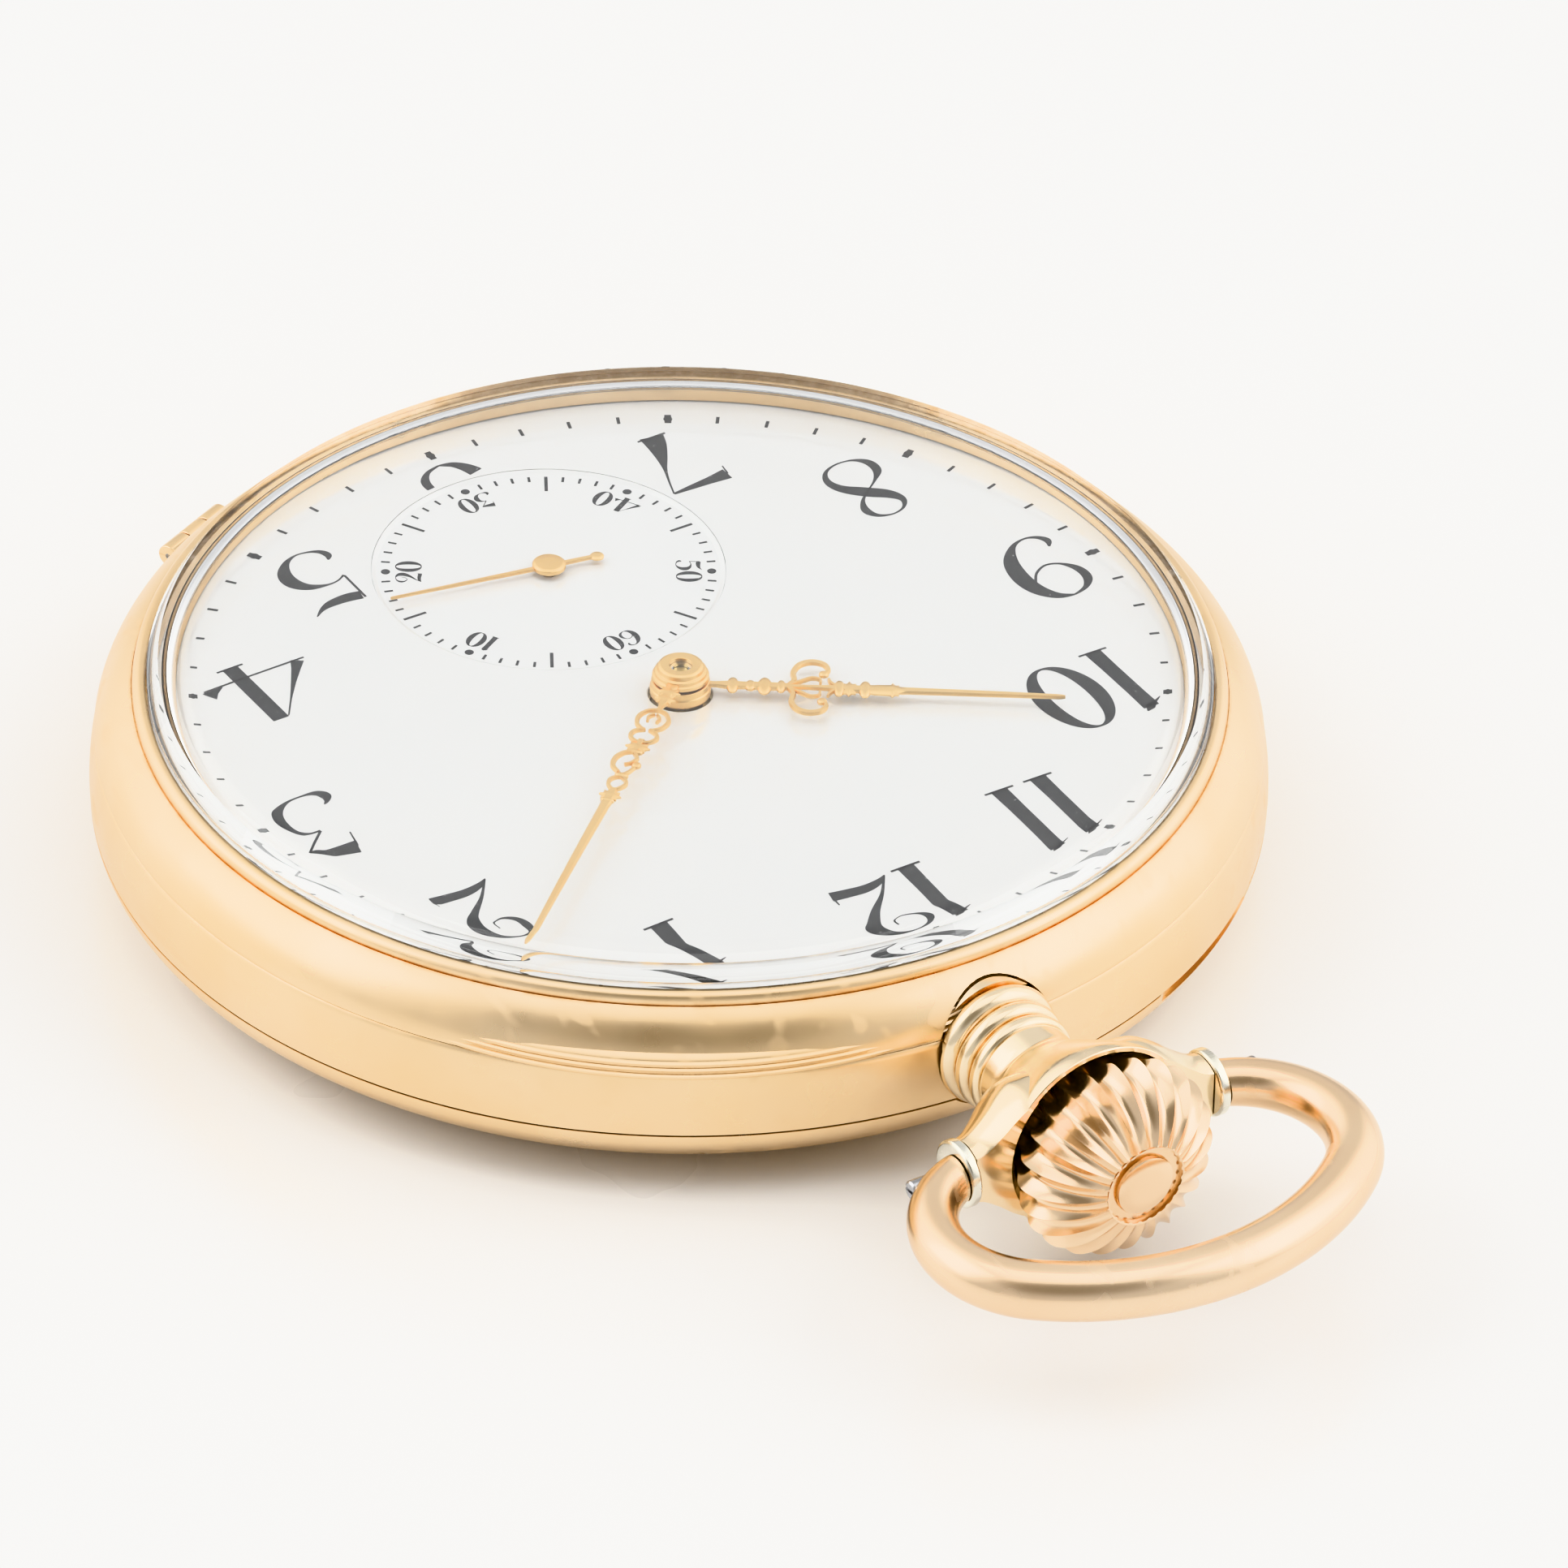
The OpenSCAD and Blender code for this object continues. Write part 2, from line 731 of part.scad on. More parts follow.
module hour_wheel() {
    to_minute = bearing(centre_at, minute_wheel_at);
    color(gilt)
    difference() {
        union() {
            at(centre_at, 6.3)
                teeth_ring(hour_teeth, hour_module, to_minute, 0.28, 0.75, 1.1);
            at(centre_at, 6.3)
                cylinder(r = 0.97, h = hour_hand_z + 0.3 - 6.3);
        }
        at(centre_at, 6)
            cylinder(r = 0.75, h = 3);
    }
}

module cannon_pinion() {
    to_minute = bearing(centre_at, minute_wheel_at);
    color(steel)
    difference() {
        union() {
            at(centre_at, 5.72)
                leaves(cannon_leaves, motion_module, gap_first(cannon_leaves, to_minute), 0.45);
            at(centre_at, 5.72)
                cylinder(r = 0.7, h = minute_hand_z - 5.72);
            at(centre_at, minute_hand_z - eps)
                cylinder(r = 0.46, h = 0.45);
        }
        at(centre_at, 5)
            cylinder(r = 0.32, h = 4);
    }
}

module minute_wheel() {
    to_centre = bearing(minute_wheel_at, centre_at);
    color(gilt)
    difference() {
        union() {
            at(minute_wheel_at, 5.75)
                wheel_teeth(minute_teeth, motion_module, to_centre, 0.3);
            at(minute_wheel_at, 5.75)
                leaves(minute_leaves, hour_module, gap_first(minute_leaves, to_centre), 0.85);
        }
        at(minute_wheel_at, 5)
            cylinder(r = 0.32, h = 3);
    }
}

// The pitch fraction by which a wheel's teeth miss the line to its neighbour
function miss(teeth, first, towards) =
    let (p = 360 / teeth, d = (towards - first) / p) d - floor(d);

module setting_wheel() {
    to_setting = bearing(minute_wheel_at, setting_at);
    part_turn = miss(minute_teeth, bearing(minute_wheel_at, centre_at), to_setting);
    first = to_setting + 180 + (part_turn + 0.5) * 360 / setting_teeth;
    color(steel)
    difference() {
        at(setting_at, 5.75)
            teeth_ring(setting_teeth, motion_module, first, 0.3, 0.65, 1.15, 0.52, 0.18);
        at(setting_at, 5)
            cylinder(r = 0.32, h = 3);
    }
}

// ---------- keyless work ----------

lever_at = [-3.4, 18.9];
lever_tip = [0.25, 20.25];
yoke_at = [-4.6, 15.6];

module setting_lever() {
    color(steel)
    difference() {
        union() {
            at(lever_at, 5.95)
                cylinder(r = 0.75, h = 0.5);
            translate([0, 0, 5.95])
                bar(lever_at, lever_tip, 0.5, 0.5);
            translate([0, 0, 5.95])
                bar(lever_at, [-4.6, 17], 0.5, 0.3);
            // Pin that stands in the stem's groove
            at(lever_tip, 5.55)
                cylinder(r = 0.2, h = 0.5);
        }
        at(lever_at, 5)
            cylinder(r = 0.32, h = 3);
    }
}

module yoke() {
    color(steel)
    difference() {
        union() {
            at(yoke_at, 5.75)
                cylinder(r = 0.75, h = 0.3);
            translate([0, 0, 5.75])
                bar(yoke_at, [-0.6, 15.7], 0.35, 0.3);
        }
        at(yoke_at, 5)
            cylinder(r = 0.32, h = 3);
    }
}

module winding_pinion() {
    color(steel)
        along_stem(winding_y - 0.35)
            difference() {
                union() {
                    linear_extrude(0.7)
                        polygon(gear_points(pinion_teeth, pinion_r - 0.16, pinion_r + 0.1, 0.4, 0.22, 90));
                    translate([0, 0, -0.25])
                        cylinder(r = pinion_r - 0.16, h = 0.3);
                }
                translate([0, 0, -cut])
                    cylinder(r = 0.52, h = 3);
            }
}

module clutch_wheel() {
    square_w = 0.76;
    color(steel)
        along_stem(14.6)
            difference() {
                union() {
                    cylinder(r = 0.95, h = 0.5);
                    cylinder(r = 0.7, h = 2.2);
                    translate([0, 0, 1.7])
                        cylinder(r = 0.95, h = winding_y - 0.65 - 16.3);
                }
                translate([-square_w / 2, -square_w / 2, -cut])
                    cube([square_w, square_w, 6]);
            }
}

// ---------- main plate and bridges ----------

jewel_r = 0.75;
foot_h = plate_z - bridge_in_z;
// Feet: where each bridge stands on the main plate
barrel_feet = [polar(19.3, 12), polar(19.3, 112)];
train_feet = [polar(19, -25), polar(19.2, -112)];
cock_foot = polar(19.8, 197);
pallet_foot = pallet_at + polar(3.4, pallet_angle + 90);
foot_r = 1.25;
screw_thread_r = 0.4;

module main_plate() {
    color(nickel)
    difference() {
        union() {
            at(centre_at, plate_z)
                cylinder(r = plate_r, h = plate_top_z - plate_z, $fn = 192);
            translate([-1.6, 19.35, 4.2])
                cube([3.2, 1.7, 1.2]);
            translate([-1, 12.2, 4.6])
                cube([2, 1.4, 1]);
        }
        // Pockets for the motion work
        at(centre_at, pocket_z)
            cylinder(r = hour_teeth * hour_module / 2 + 0.35, h = 3);
        at(minute_wheel_at, pocket_z)
            cylinder(r = minute_teeth * motion_module / 2 + 0.35, h = 3);
        at(setting_at, pocket_z)
            cylinder(r = setting_teeth * motion_module / 2 + 0.35, h = 3);
        // Slot for the winding pinion and the clutch, and pocket for the levers beside it
        translate([-1.45, 13.6, 4])
            cube([2.9, 5.75, 4]);
        translate([-5.6, 11.6, pocket_z])
            cube([4.2, 8.4, 3]);
        translate([-2.9, 19, 5.9])
            cube([3.75, 3, 3]);
        translate([-0.45, 19.95, 5.4])
            cube([1, 1.4, 3]);
        // Stem bearings
        along_stem(12.2)
            cylinder(r = 0.38, h = 4);
        along_stem(17)
            cylinder(r = 0.52, h = 6);
        // Arbor and jewel holes
        at(centre_at, plate_z - cut)
            cylinder(r = 0.6, h = 3);
        for (p = [third_at, escape_at, pallet_at, balance_at])
            at(p, plate_z - cut)
                cylinder(r = jewel_r, h = cut + 0.5);
        at(fourth_at, plate_z - cut)
            cylinder(r = jewel_r, h = 4);
        for (p = [third_at, escape_at, pallet_at, balance_at])
            at(p, plate_z)
                cylinder(r = 0.3, h = 0.9);
        at(barrel_at, plate_z - cut)
            cylinder(r = 0.85, h = 3);
        // Threads for the bridge screws, and holes for the dial's feet and the case screws
        for (p = concat(barrel_feet, train_feet, [cock_foot, pallet_foot]))
            at(p, plate_z - cut)
                cylinder(r = screw_thread_r, h = cut + 1.2);
        for (h = [75, 190, 285])
            at(polar(19.6, clock(h)), plate_z - cut)
                cylinder(r = 0.42, h = 4);
        for (p = case_screw_at)
            at(p, plate_z - cut)
                cylinder(r = screw_thread_r + 0.02, h = cut + 0.6);
    }
    // Studs for the wheels that turn on the plate
    color(nickel)
        for (p = [minute_wheel_at, setting_at, yoke_at])
            at(p, pocket_z - eps)
                cylinder(r = 0.3, h = 0.55);
    color(nickel)
        at(lever_at, pocket_z - eps)
            cylinder(r = 0.3, h = 0.7);
}

// A bridge blank: a plate with the given outline, held inside the movement's edge, with feet
module bridge_blank(outline, feet) {
    translate([0, 0, bridge_z])
        intersection() {
            cylinder(r = bridge_r, h = bridge_in_z - bridge_z, $fn = 192);
            linear_extrude(bridge_in_z - bridge_z)
                polygon(outline);
        }
    for (p = feet)
        at(p, bridge_in_z - eps)
            cylinder(r = foot_r, h = foot_h + eps);
}

module screw_holes(feet, counter_z) {
    for (p = feet) {
        at(p, bridge_z - cut)
            cylinder(r = screw_thread_r + 0.02, h = 6);
        at(p, bridge_z - cut)
            cylinder(r = 0.82, h = cut + counter_z);
    }
}

module barrel_bridge() {
    color(nickel)
    difference() {
        bridge_blank([[-2.2, -2.2], [7, -2.2], [10, -1], [22, -1], [22, 22], [-14, 22], [-7.6, 16],
            [-5, 9], [-2.6, 4]], barrel_feet);
        screw_holes(barrel_feet, 0.35);
        at(centre_at, bridge_z - cut)
            cylinder(r = jewel_r, h = 3);
        at(barrel_at, bridge_z - cut)
            cylinder(r = 1.02, h = 3);
        at(crown_wheel_at, bridge_z - cut)
            cylinder(r = 1.32, h = 3);
        // Seat for the click's pivot, and room to reach the case screw
        at(click_at, bridge_z - cut)
            cylinder(r = 0.32, h = cut + 0.6);
        at(case_screw_at[0], bridge_z - cut)
            cylinder(r = case_screw_head_r + 0.1, h = 3);
    }
}

module train_bridge() {
    color(nickel)
    difference() {
        bridge_blank([[-6.6, -8], [-3.4, -8], [-2.4, -2.6], [7, -2.6], [10, -1.4], [22, -1.4], [22, -22],
            [-8.5, -22], [-8, -12], [-6.6, -10.6]], train_feet);
        screw_holes(train_feet, 0.35);
        at(balance_at, bridge_z - cut)
            cylinder(r = 6.85, h = 3);
        for (p = [third_at, fourth_at, escape_at])
            at(p, bridge_z - cut)
                cylinder(r = jewel_r, h = 3);
        at(case_screw_at[1], bridge_z - cut)
            cylinder(r = case_screw_head_r + 0.1, h = 3);
    }
}

module balance_cock() {
    cock_dir = bearing(centre_at, cock_foot);
    reach = norm(cock_foot - balance_at);
    color(nickel)
    difference() {
        union() {
            at(balance_at, bridge_z)
                cylinder(r = 1.9, h = bridge_in_z - bridge_z);
            translate([0, 0, bridge_z])
                intersection() {
                    cylinder(r = bridge_r, h = foot_h + bridge_in_z - bridge_z);
                    at(balance_at)
                        rotate(bearing(balance_at, cock_foot))
                            linear_extrude(bridge_in_z - bridge_z)
                                polygon([[0, -1.9], [reach - 2, -3.2], [reach + 3, -4.6],
                                    [reach + 3, 4.6], [reach - 2, 3.2], [0, 1.9]]);
                }
            // Foot, an arc at the movement's edge
            intersection() {
                at(centre_at, bridge_in_z - eps)
                    tube(bridge_r, 18.75, foot_h + eps);
                at(centre_at, bridge_in_z - eps)
                    linear_extrude(foot_h + eps)
                        polygon([[0, 0], polar(30, cock_dir - 12), polar(30, cock_dir + 12)]);
            }
        }
        screw_holes([cock_foot], 0.35);
        at(balance_at, bridge_z - cut)
            cylinder(r = jewel_r, h = 3);
    }
}

pallet_cock_z = 3.76;
module pallet_cock() {
    color(nickel)
    difference() {
        union() {
            translate([0, 0, pallet_cock_z])
                bar(pallet_at, pallet_foot, 1.7, 0.34);
            at(pallet_at, pallet_cock_z)
                cylinder(r = 0.85, h = 0.34);
            at(pallet_foot, pallet_cock_z)
                cylinder(r = 0.95, h = plate_z - pallet_cock_z);
        }
        at(pallet_at, pallet_cock_z - cut)
            cylinder(r = 0.45, h = 3);
        at(pallet_foot, pallet_cock_z - cut)
            cylinder(r = screw_thread_r + 0.02, h = 6);
    }
}

module bridge_screws() {
    color(blued) {
        for (p = concat(barrel_feet, train_feet, [cock_foot]))
            at(p, bridge_z + 0.35)
                screw(0.78, 0.4, screw_thread_r, 3.6);
        at(pallet_foot, pallet_cock_z)
            screw(0.6, 0.05, screw_thread_r, 1.9);
    }
}

// Ring stones: pivot holes with running clearance
pivot_r = 0.12;
module stone(p, z, h, hole_r = pivot_r + 0.02, out_r = jewel_r) {
    at(p, z)
        tube(out_r, hole_r, h);
}

module jewels() {
    color(ruby) {
        for (p = [third_at, escape_at, pallet_at, balance_at])
            stone(p, plate_z, 0.48);
        stone(fourth_at, plate_z, 0.48, 0.27);
        for (p = [third_at, fourth_at, escape_at, balance_at])
            stone(p, bridge_in_z - 0.5, 0.5);
        stone(centre_at, bridge_in_z - 0.5, 0.5, 0.37);
        stone(pallet_at, pallet_cock_z, 0.34, pivot_r + 0.02, 0.45);
    }
}

// ---------- barrel and winding ----------

module barrel_drum() {
    z0 = 2.8;
    wall_r = 8.05;
    color(gilt)
    difference() {
        union() {
            at(barrel_at, z0)
                wheel_teeth(barrel_teeth, barrel_module, barrel_angle + 180, 0.42);
            at(barrel_at, z0)
                cylinder(r = wall_r, h = 1.63);
        }
        at(barrel_at, z0 + 0.3)
            cylinder(r = wall_r - 0.35, h = 3);
        at(barrel_at, z0 - cut)
            cylinder(r = 0.97, h = 3);
    }
}

module barrel_cover() {
    color(gilt)
        at(barrel_at, 4.25)
            tube(7.69, 0.87, 0.18);
}

module mainspring() {
    color(steel)
        at(barrel_at, 3.2)
            spiral(2.1, 7.3, 7, 0.28, 0.95, 168);
}

module barrel_arbor() {
    square_w = 1.3;
    color(steel)
        union() {
            at(barrel_at, 4.2)
                cylinder(r = 0.82, h = 1.65);
            at(barrel_at, 3.15)
                cylinder(r = 1.9, h = 1.06);
            at(barrel_at, bridge_z)
                cylinder(r = 0.92, h = 1.41);
            at(barrel_at, wheel_out_z)
                rotate(barrel_angle)
                    translate([-square_w / 2, -square_w / 2, 0])
                        cube([square_w, square_w, 0.5]);
        }
}

module ratchet_wheel() {
    square_w = 1.34;
    to_crown = bearing(barrel_at, crown_wheel_at);
    color(steel)
    difference() {
        at(barrel_at, wheel_out_z)
            wheel_teeth(ratchet_teeth, winding_module, to_crown, 0.4);
        at(barrel_at, wheel_out_z - cut)
            rotate(barrel_angle)
                translate([-square_w / 2, -square_w / 2, 0])
                    cube([square_w, square_w, 3]);
    }
}

module ratchet_screw() {
    color(blued)
        at(barrel_at, wheel_out_z - 0.01)
            difference() {
                translate([0, 0, -0.14])
                    cylinder(r = 1.3, h = 0.14);
                translate([-2, -0.18, -0.2])
                    cube([4, 0.36, 0.12]);
            }
}

module crown_wheel() {
    to_ratchet = bearing(crown_wheel_at, barrel_at);
    face_z = stem_z - pinion_r;
    color(steel)
    difference() {
        union() {
            at(crown_wheel_at, wheel_out_z)
                teeth_ring(crown_teeth, winding_module, gap_first(crown_teeth, to_ratchet), 0.4,
                    0.65, 1.15, 0.52, 0.18);
            at(crown_wheel_at, wheel_out_z)
                cylinder(r = 1.28, h = face_z - 0.6 - wheel_out_z);
            at(crown_wheel_at, face_z - 0.75)
                cylinder(r = face_r + 0.22, h = 0.45);
            // Face teeth that the winding pinion turns
            for (i = [0 : face_teeth - 1])
                at(crown_wheel_at, face_z - 0.31)
                    rotate(90 + (i + 0.5) * 360 / face_teeth)
                        translate([face_r - 0.22, -0.07, 0])
                            cube([0.43, 0.14, 0.37]);
        }
        at(crown_wheel_at, wheel_out_z - cut)
            cylinder(r = 0.42, h = cut + 1.5);
    }
}

module crown_wheel_screw() {
    color(blued)
        at(crown_wheel_at, wheel_out_z)
            screw(1.1, 0.14, 0.4, 1.4);
}

click_at = barrel_at + polar(8.6, 10);
module click() {
    color(steel)
    difference() {
        union() {
            at(click_at, wheel_out_z)
                cylinder(r = 0.85, h = 0.4);
            translate([0, 0, wheel_out_z])
                linear_extrude(0.4)
                    polygon([click_at + polar(0.8, 170), click_at + polar(0.85, 10),
                        barrel_at + polar(8.5, 21.5), barrel_at + polar(7.26, 23.5),
                        barrel_at + polar(7.5, 20)]);
            at(click_at, wheel_out_z + 0.38)
                cylinder(r = 0.3, h = 0.6);
        }
        at(barrel_at, wheel_out_z - cut)
            cylinder(r = 7.2, h = 3, $fn = 192);
    }
}

// ---------- going train ----------

module centre_wheel() {
    to_barrel = bearing(centre_at, barrel_at);
    to_third = bearing(centre_at, third_at);
    color(gilt)
        difference() {
            at(centre_at, 4.6)
                wheel_teeth(centre_teeth, centre_module, to_third, 0.22);
            at(centre_at, 4.6)
                spoke_gaps(6.2, 1.9, 5, 0.8, 11);
        }
    color(steel) {
        at(centre_at, 2.75)
            leaves(centre_leaves, barrel_module, gap_first(centre_leaves, to_barrel), 0.52);
        at(centre_at, 2.75)
            cylinder(r = 0.55, h = 2.95);
        at(centre_at, bridge_z + 0.05)
            cylinder(r = 0.35, h = 1.1);
        at(centre_at, 5.7)
            cylinder(r = 0.3, h = 2.75);
    }
}

module third_wheel() {
    to_centre = bearing(third_at, centre_at);
    to_fourth = bearing(third_at, fourth_at);
    color(gilt)
        difference() {
            at(third_at, 4.15)
                wheel_teeth(third_teeth, third_module, to_fourth, 0.2);
            at(third_at, 4.15)
                spoke_gaps(4.9, 1.5, 5, 0.6, 20);
        }
    color(steel) {
        at(third_at, 4.5)
            leaves(third_leaves, centre_module, gap_first(third_leaves, to_centre), 0.38);
        at(third_at, 2.72)
            cylinder(r = 0.3, h = 2.18);
        pivots(third_at, 2.2, 5.5);
    }
}

module pivots(p, z0, z1) {
    at(p, z0)
        cylinder(r = pivot_r, h = z1 - z0);
}

module fourth_wheel() {
    to_third = bearing(fourth_at, third_at);
    to_escape = bearing(fourth_at, escape_at);
    color(gilt)
        difference() {
            at(fourth_at, 3.77)
                wheel_teeth(fourth_teeth, fourth_module, to_escape, 0.2);
            at(fourth_at, 3.77)
                spoke_gaps(4.2, 1.3, 5, 0.55, 31);
        }
    color(steel) {
        at(fourth_at, 4.1)
            leaves(fourth_leaves, third_module, gap_first(fourth_leaves, to_third), 0.32);
        at(fourth_at, 2.72)
            cylinder(r = 0.3, h = 2.18);
        at(fourth_at, 4.88)
            cylinder(r = 0.25, h = dial_z - 4.88);
        at(fourth_at, dial_z - eps)
            cylinder(r = 0.12, h = dial_top_z + 0.3 - dial_z);
        at(fourth_at, 2.2)
            cylinder(r = pivot_r, h = 0.6);
    }
}

module escape_wheel() {
    to_fourth = bearing(escape_at, fourth_at);
    color(steel) {
        difference() {
            at(escape_at, 4.2)
                linear_extrude(0.18)
                    polygon([for (i = [0 : escape_teeth - 1], c = [[2.25, -4], [2.85, -1.2], [escape_r, 1.6],
                        [2.55, 3.4], [2.25, 3]]) polar(c[0], 360 * i / escape_teeth + c[1])]);
            at(escape_at, 4.2)
                spoke_gaps(1.95, 0.8, 4, 0.4, 10);
        }
        at(escape_at, 3.72)
            leaves(escape_leaves, fourth_module, gap_first(escape_leaves, to_fourth), 0.3);
        at(escape_at, 2.72)
            cylinder(r = 0.25, h = 2.18);
        pivots(escape_at, 2.2, 5.5);
    }
}

// ---------- escapement and balance ----------

stone_at = [for (side = [-1, 1]) pallet_angle + side * 31];
module pallet_fork() {
    color(steel) {
        difference() {
            union() {
                at(pallet_at, 4.2)
                    cylinder(r = 0.4, h = 0.18);
                translate([0, 0, 4.2]) {
                    bar(pallet_at, pallet_at + polar(3.4, pallet_angle), 0.36, 0.18);
                    bar(pallet_at + polar(3.2, pallet_angle), pallet_at + polar(3.85, pallet_angle), 0.9, 0.18);
                    for (a = stone_at)
                        bar(pallet_at, escape_at + polar(3.75, a), 0.45, 0.18);
                }
            }
            // The fork's notch
            translate([0, 0, 4])
                bar(pallet_at + polar(3.5, pallet_angle), pallet_at + polar(4.2, pallet_angle), 0.36, 1);
        }
        at(pallet_at, 4.12)
            cylinder(r = 0.25, h = 0.78);
        pivots(pallet_at, pallet_cock_z + 0.02, 5.4);
    }
}

module pallet_stones() {
    color(ruby)
        for (a = stone_at)
            at(escape_at + polar(3.5, a), 4.38)
                rotate(a)
                    translate([-0.38, -0.22, 0])
                        cube([0.9, 0.44, 0.15]);
}

rim_r_out = 7;
module balance_wheel() {
    color(gilt)
        at(balance_at, 3.2) {
            difference() {
                cylinder(r = rim_r_out, h = 0.45);
                translate([0, 0, -cut])
                    cylinder(r = rim_r_out - 0.6, h = 3);
            }
            difference() {
                translate([-rim_r_out + 0.3, -0.4, 0.12])
                    cube([2 * rim_r_out - 0.6, 0.8, 0.22]);
                translate([0, 0, -cut])
                    cylinder(r = 0.4, h = 3);
            }
            translate([0, 0, 0.1])
                tube(0.9, 0.4, 0.26);
        }
}

module balance_screws() {
    count = 16;
    color(gilt)
        at(balance_at, 3.425)
            for (i = [0 : count - 1])
                rotate(11.25 + 360 * i / count)
                    translate([rim_r_out - 0.04, 0, 0])
                        rotate([0, 90, 0])
                            cylinder(r = 0.2, h = 0.55);
}

module balance_staff() {
    color(steel) {
        at(balance_at, 2.75)
            cylinder(r = 0.36, h = 1.9);
        at(balance_at, 3.84)
            cylinder(r = 1.1, h = 0.16);
        at(balance_at + polar(0.85, pallet_angle + 180), 3.99)
            cylinder(r = 0.13, h = 0.14);
        pivots(balance_at, 2.2, 5.4);
    }
}

module hairspring() {
    color(blued) {
        at(balance_at, 2.86)
            spiral(0.75, 3.3, 7, 0.07, 0.14, 168);
        at(balance_at, 2.82)
            tube(0.78, 0.37, 0.2);
    }
}

module regulator() {
    lever_dir = bearing(balance_at, centre_at) - 25;
    color(steel)
    difference() {
        at(balance_at, bridge_z - 0.22) {
            cylinder(r = 1.35, h = 0.2);
            rotate(lever_dir)
                linear_extrude(0.2)
                    polygon([[1, -0.35], [4.2, -0.12], [4.2, 0.12], [1, 0.35]]);
        }
        at(balance_at, 1)
            cylinder(r = jewel_r + 0.05, h = 3);
    }
}

case_middle();
bezel();
bezel_hinge_pin();
crystal();
back_cover();
back_hinge_pin();
cuvette();
pendant();
pendant_sleeve();
bow();
bow_collars();
bow_screws();
crown();
crown_button();
winding_stem();
case_screws();
dial();
dial_feet();
hour_hand();
minute_hand();
seconds_hand();
hour_wheel();
cannon_pinion();
minute_wheel();
setting_wheel();
setting_lever();
yoke();
main_plate();
barrel_bridge();
train_bridge();
balance_cock();
pallet_cock();
barrel_drum();
barrel_cover();
mainspring();
barrel_arbor();
ratchet_wheel();
ratchet_screw();
crown_wheel();
crown_wheel_screw();
click();
winding_pinion();
clutch_wheel();
centre_wheel();
third_wheel();
fourth_wheel();
escape_wheel();
pallet_fork();
pallet_stones();
balance_wheel();
balance_screws();
balance_staff();
hairspring();
regulator();
jewels();
bridge_screws();
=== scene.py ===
import json
import math

import bmesh
import bpy
import numpy as np
from mathutils import Matrix, Vector


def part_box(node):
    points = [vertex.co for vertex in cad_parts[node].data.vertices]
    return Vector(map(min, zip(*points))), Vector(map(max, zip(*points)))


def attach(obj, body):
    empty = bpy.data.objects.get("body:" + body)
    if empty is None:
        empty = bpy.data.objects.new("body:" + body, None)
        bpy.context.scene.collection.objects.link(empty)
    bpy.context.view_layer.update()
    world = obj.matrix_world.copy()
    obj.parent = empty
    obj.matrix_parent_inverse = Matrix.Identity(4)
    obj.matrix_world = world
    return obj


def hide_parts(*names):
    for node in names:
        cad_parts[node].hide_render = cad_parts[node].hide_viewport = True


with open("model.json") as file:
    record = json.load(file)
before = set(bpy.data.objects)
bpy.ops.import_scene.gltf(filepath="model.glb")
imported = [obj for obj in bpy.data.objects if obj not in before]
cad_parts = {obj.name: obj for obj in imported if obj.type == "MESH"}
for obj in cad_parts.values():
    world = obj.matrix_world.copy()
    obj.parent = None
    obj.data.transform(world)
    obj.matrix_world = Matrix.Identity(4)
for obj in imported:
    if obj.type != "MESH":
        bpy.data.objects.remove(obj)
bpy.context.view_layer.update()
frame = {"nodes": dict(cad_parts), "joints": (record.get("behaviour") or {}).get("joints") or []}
scene = bpy.context.scene
MM = 0.001


# ---------- places taken from the CAD frame, in mm ----------

def span(node):
    """Lowest and highest corner of a CAD node, in mm."""
    low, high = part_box(node)
    return np.array(low) / MM, np.array(high) / MM


def joint_at(name):
    for joint in frame["joints"]:
        if joint["name"] == name:
            return [v / MM for v in joint["pos_m"]]
    raise KeyError(name)


STEM_Z = joint_at("winding")[2]
PIVOT_Y = joint_at("bow_pivot")[1]
SECONDS = joint_at("seconds")[:2]
BACK_SEAM = joint_at("back_hinge")[2]
BEZEL_SEAM = joint_at("bezel_hinge")[2]
HINGE = joint_at("bezel_hinge")[:2]
HINGE_R = math.hypot(*HINGE)
HINGE_DEG = math.degrees(math.atan2(HINGE[1], HINGE[0]))
CASE_R = 25.0
DIAL_TOP = span("dial")[1][2]
GLASS_TOP = span("crystal")[1][2]
SUBDIAL_R = 7.6
LIP_CLOCK = 32.5
NOTCH_CLOCK = 328.0
HOUR_TIP, MINUTE_TIP, SECOND_TIP = 16.2, 20.6, 7.2
MINUTES_PAST_TEN = 8.25
SECONDS_SHOWN = 16.7


def polar(r, deg):
    return np.array([r * math.cos(math.radians(deg)), r * math.sin(math.radians(deg))])


def clock(h):
    return 90.0 - h


def smooth(x):
    x = np.clip(x, 0, 1)
    return x * x * (3 - 2 * x)


# ---------- mesh helpers: outlines and points are in mm ----------

def new_mesh(name, verts, faces, sharp=32):
    """A shaded mesh object from points in mm."""
    me = bpy.data.meshes.new(name)
    me.from_pydata([tuple(float(c) * MM for c in v) for v in verts], [], [list(f) for f in faces])
    bm = bmesh.new()
    bm.from_mesh(me)
    bmesh.ops.remove_doubles(bm, verts=bm.verts, dist=1e-7)
    bmesh.ops.recalc_face_normals(bm, faces=bm.faces)
    bm.to_mesh(me)
    bm.free()
    me.shade_smooth()
    me.set_sharp_from_angle(angle=math.radians(sharp))
    ob = bpy.data.objects.new(name, me)
    scene.collection.objects.link(ob)
    return ob


def along_z(u, v, w):
    return (u, v, w)


def along_stem(u, v, w):
    """Points of a shape turned about the winding stem: w runs outwards through the pendant."""
    return (u, w, STEM_Z - v)


def along_pivot(u, v, w):
    """Points of a shape turned about the bow's pivots."""
    return (w, PIVOT_Y + u, STEM_Z + v)


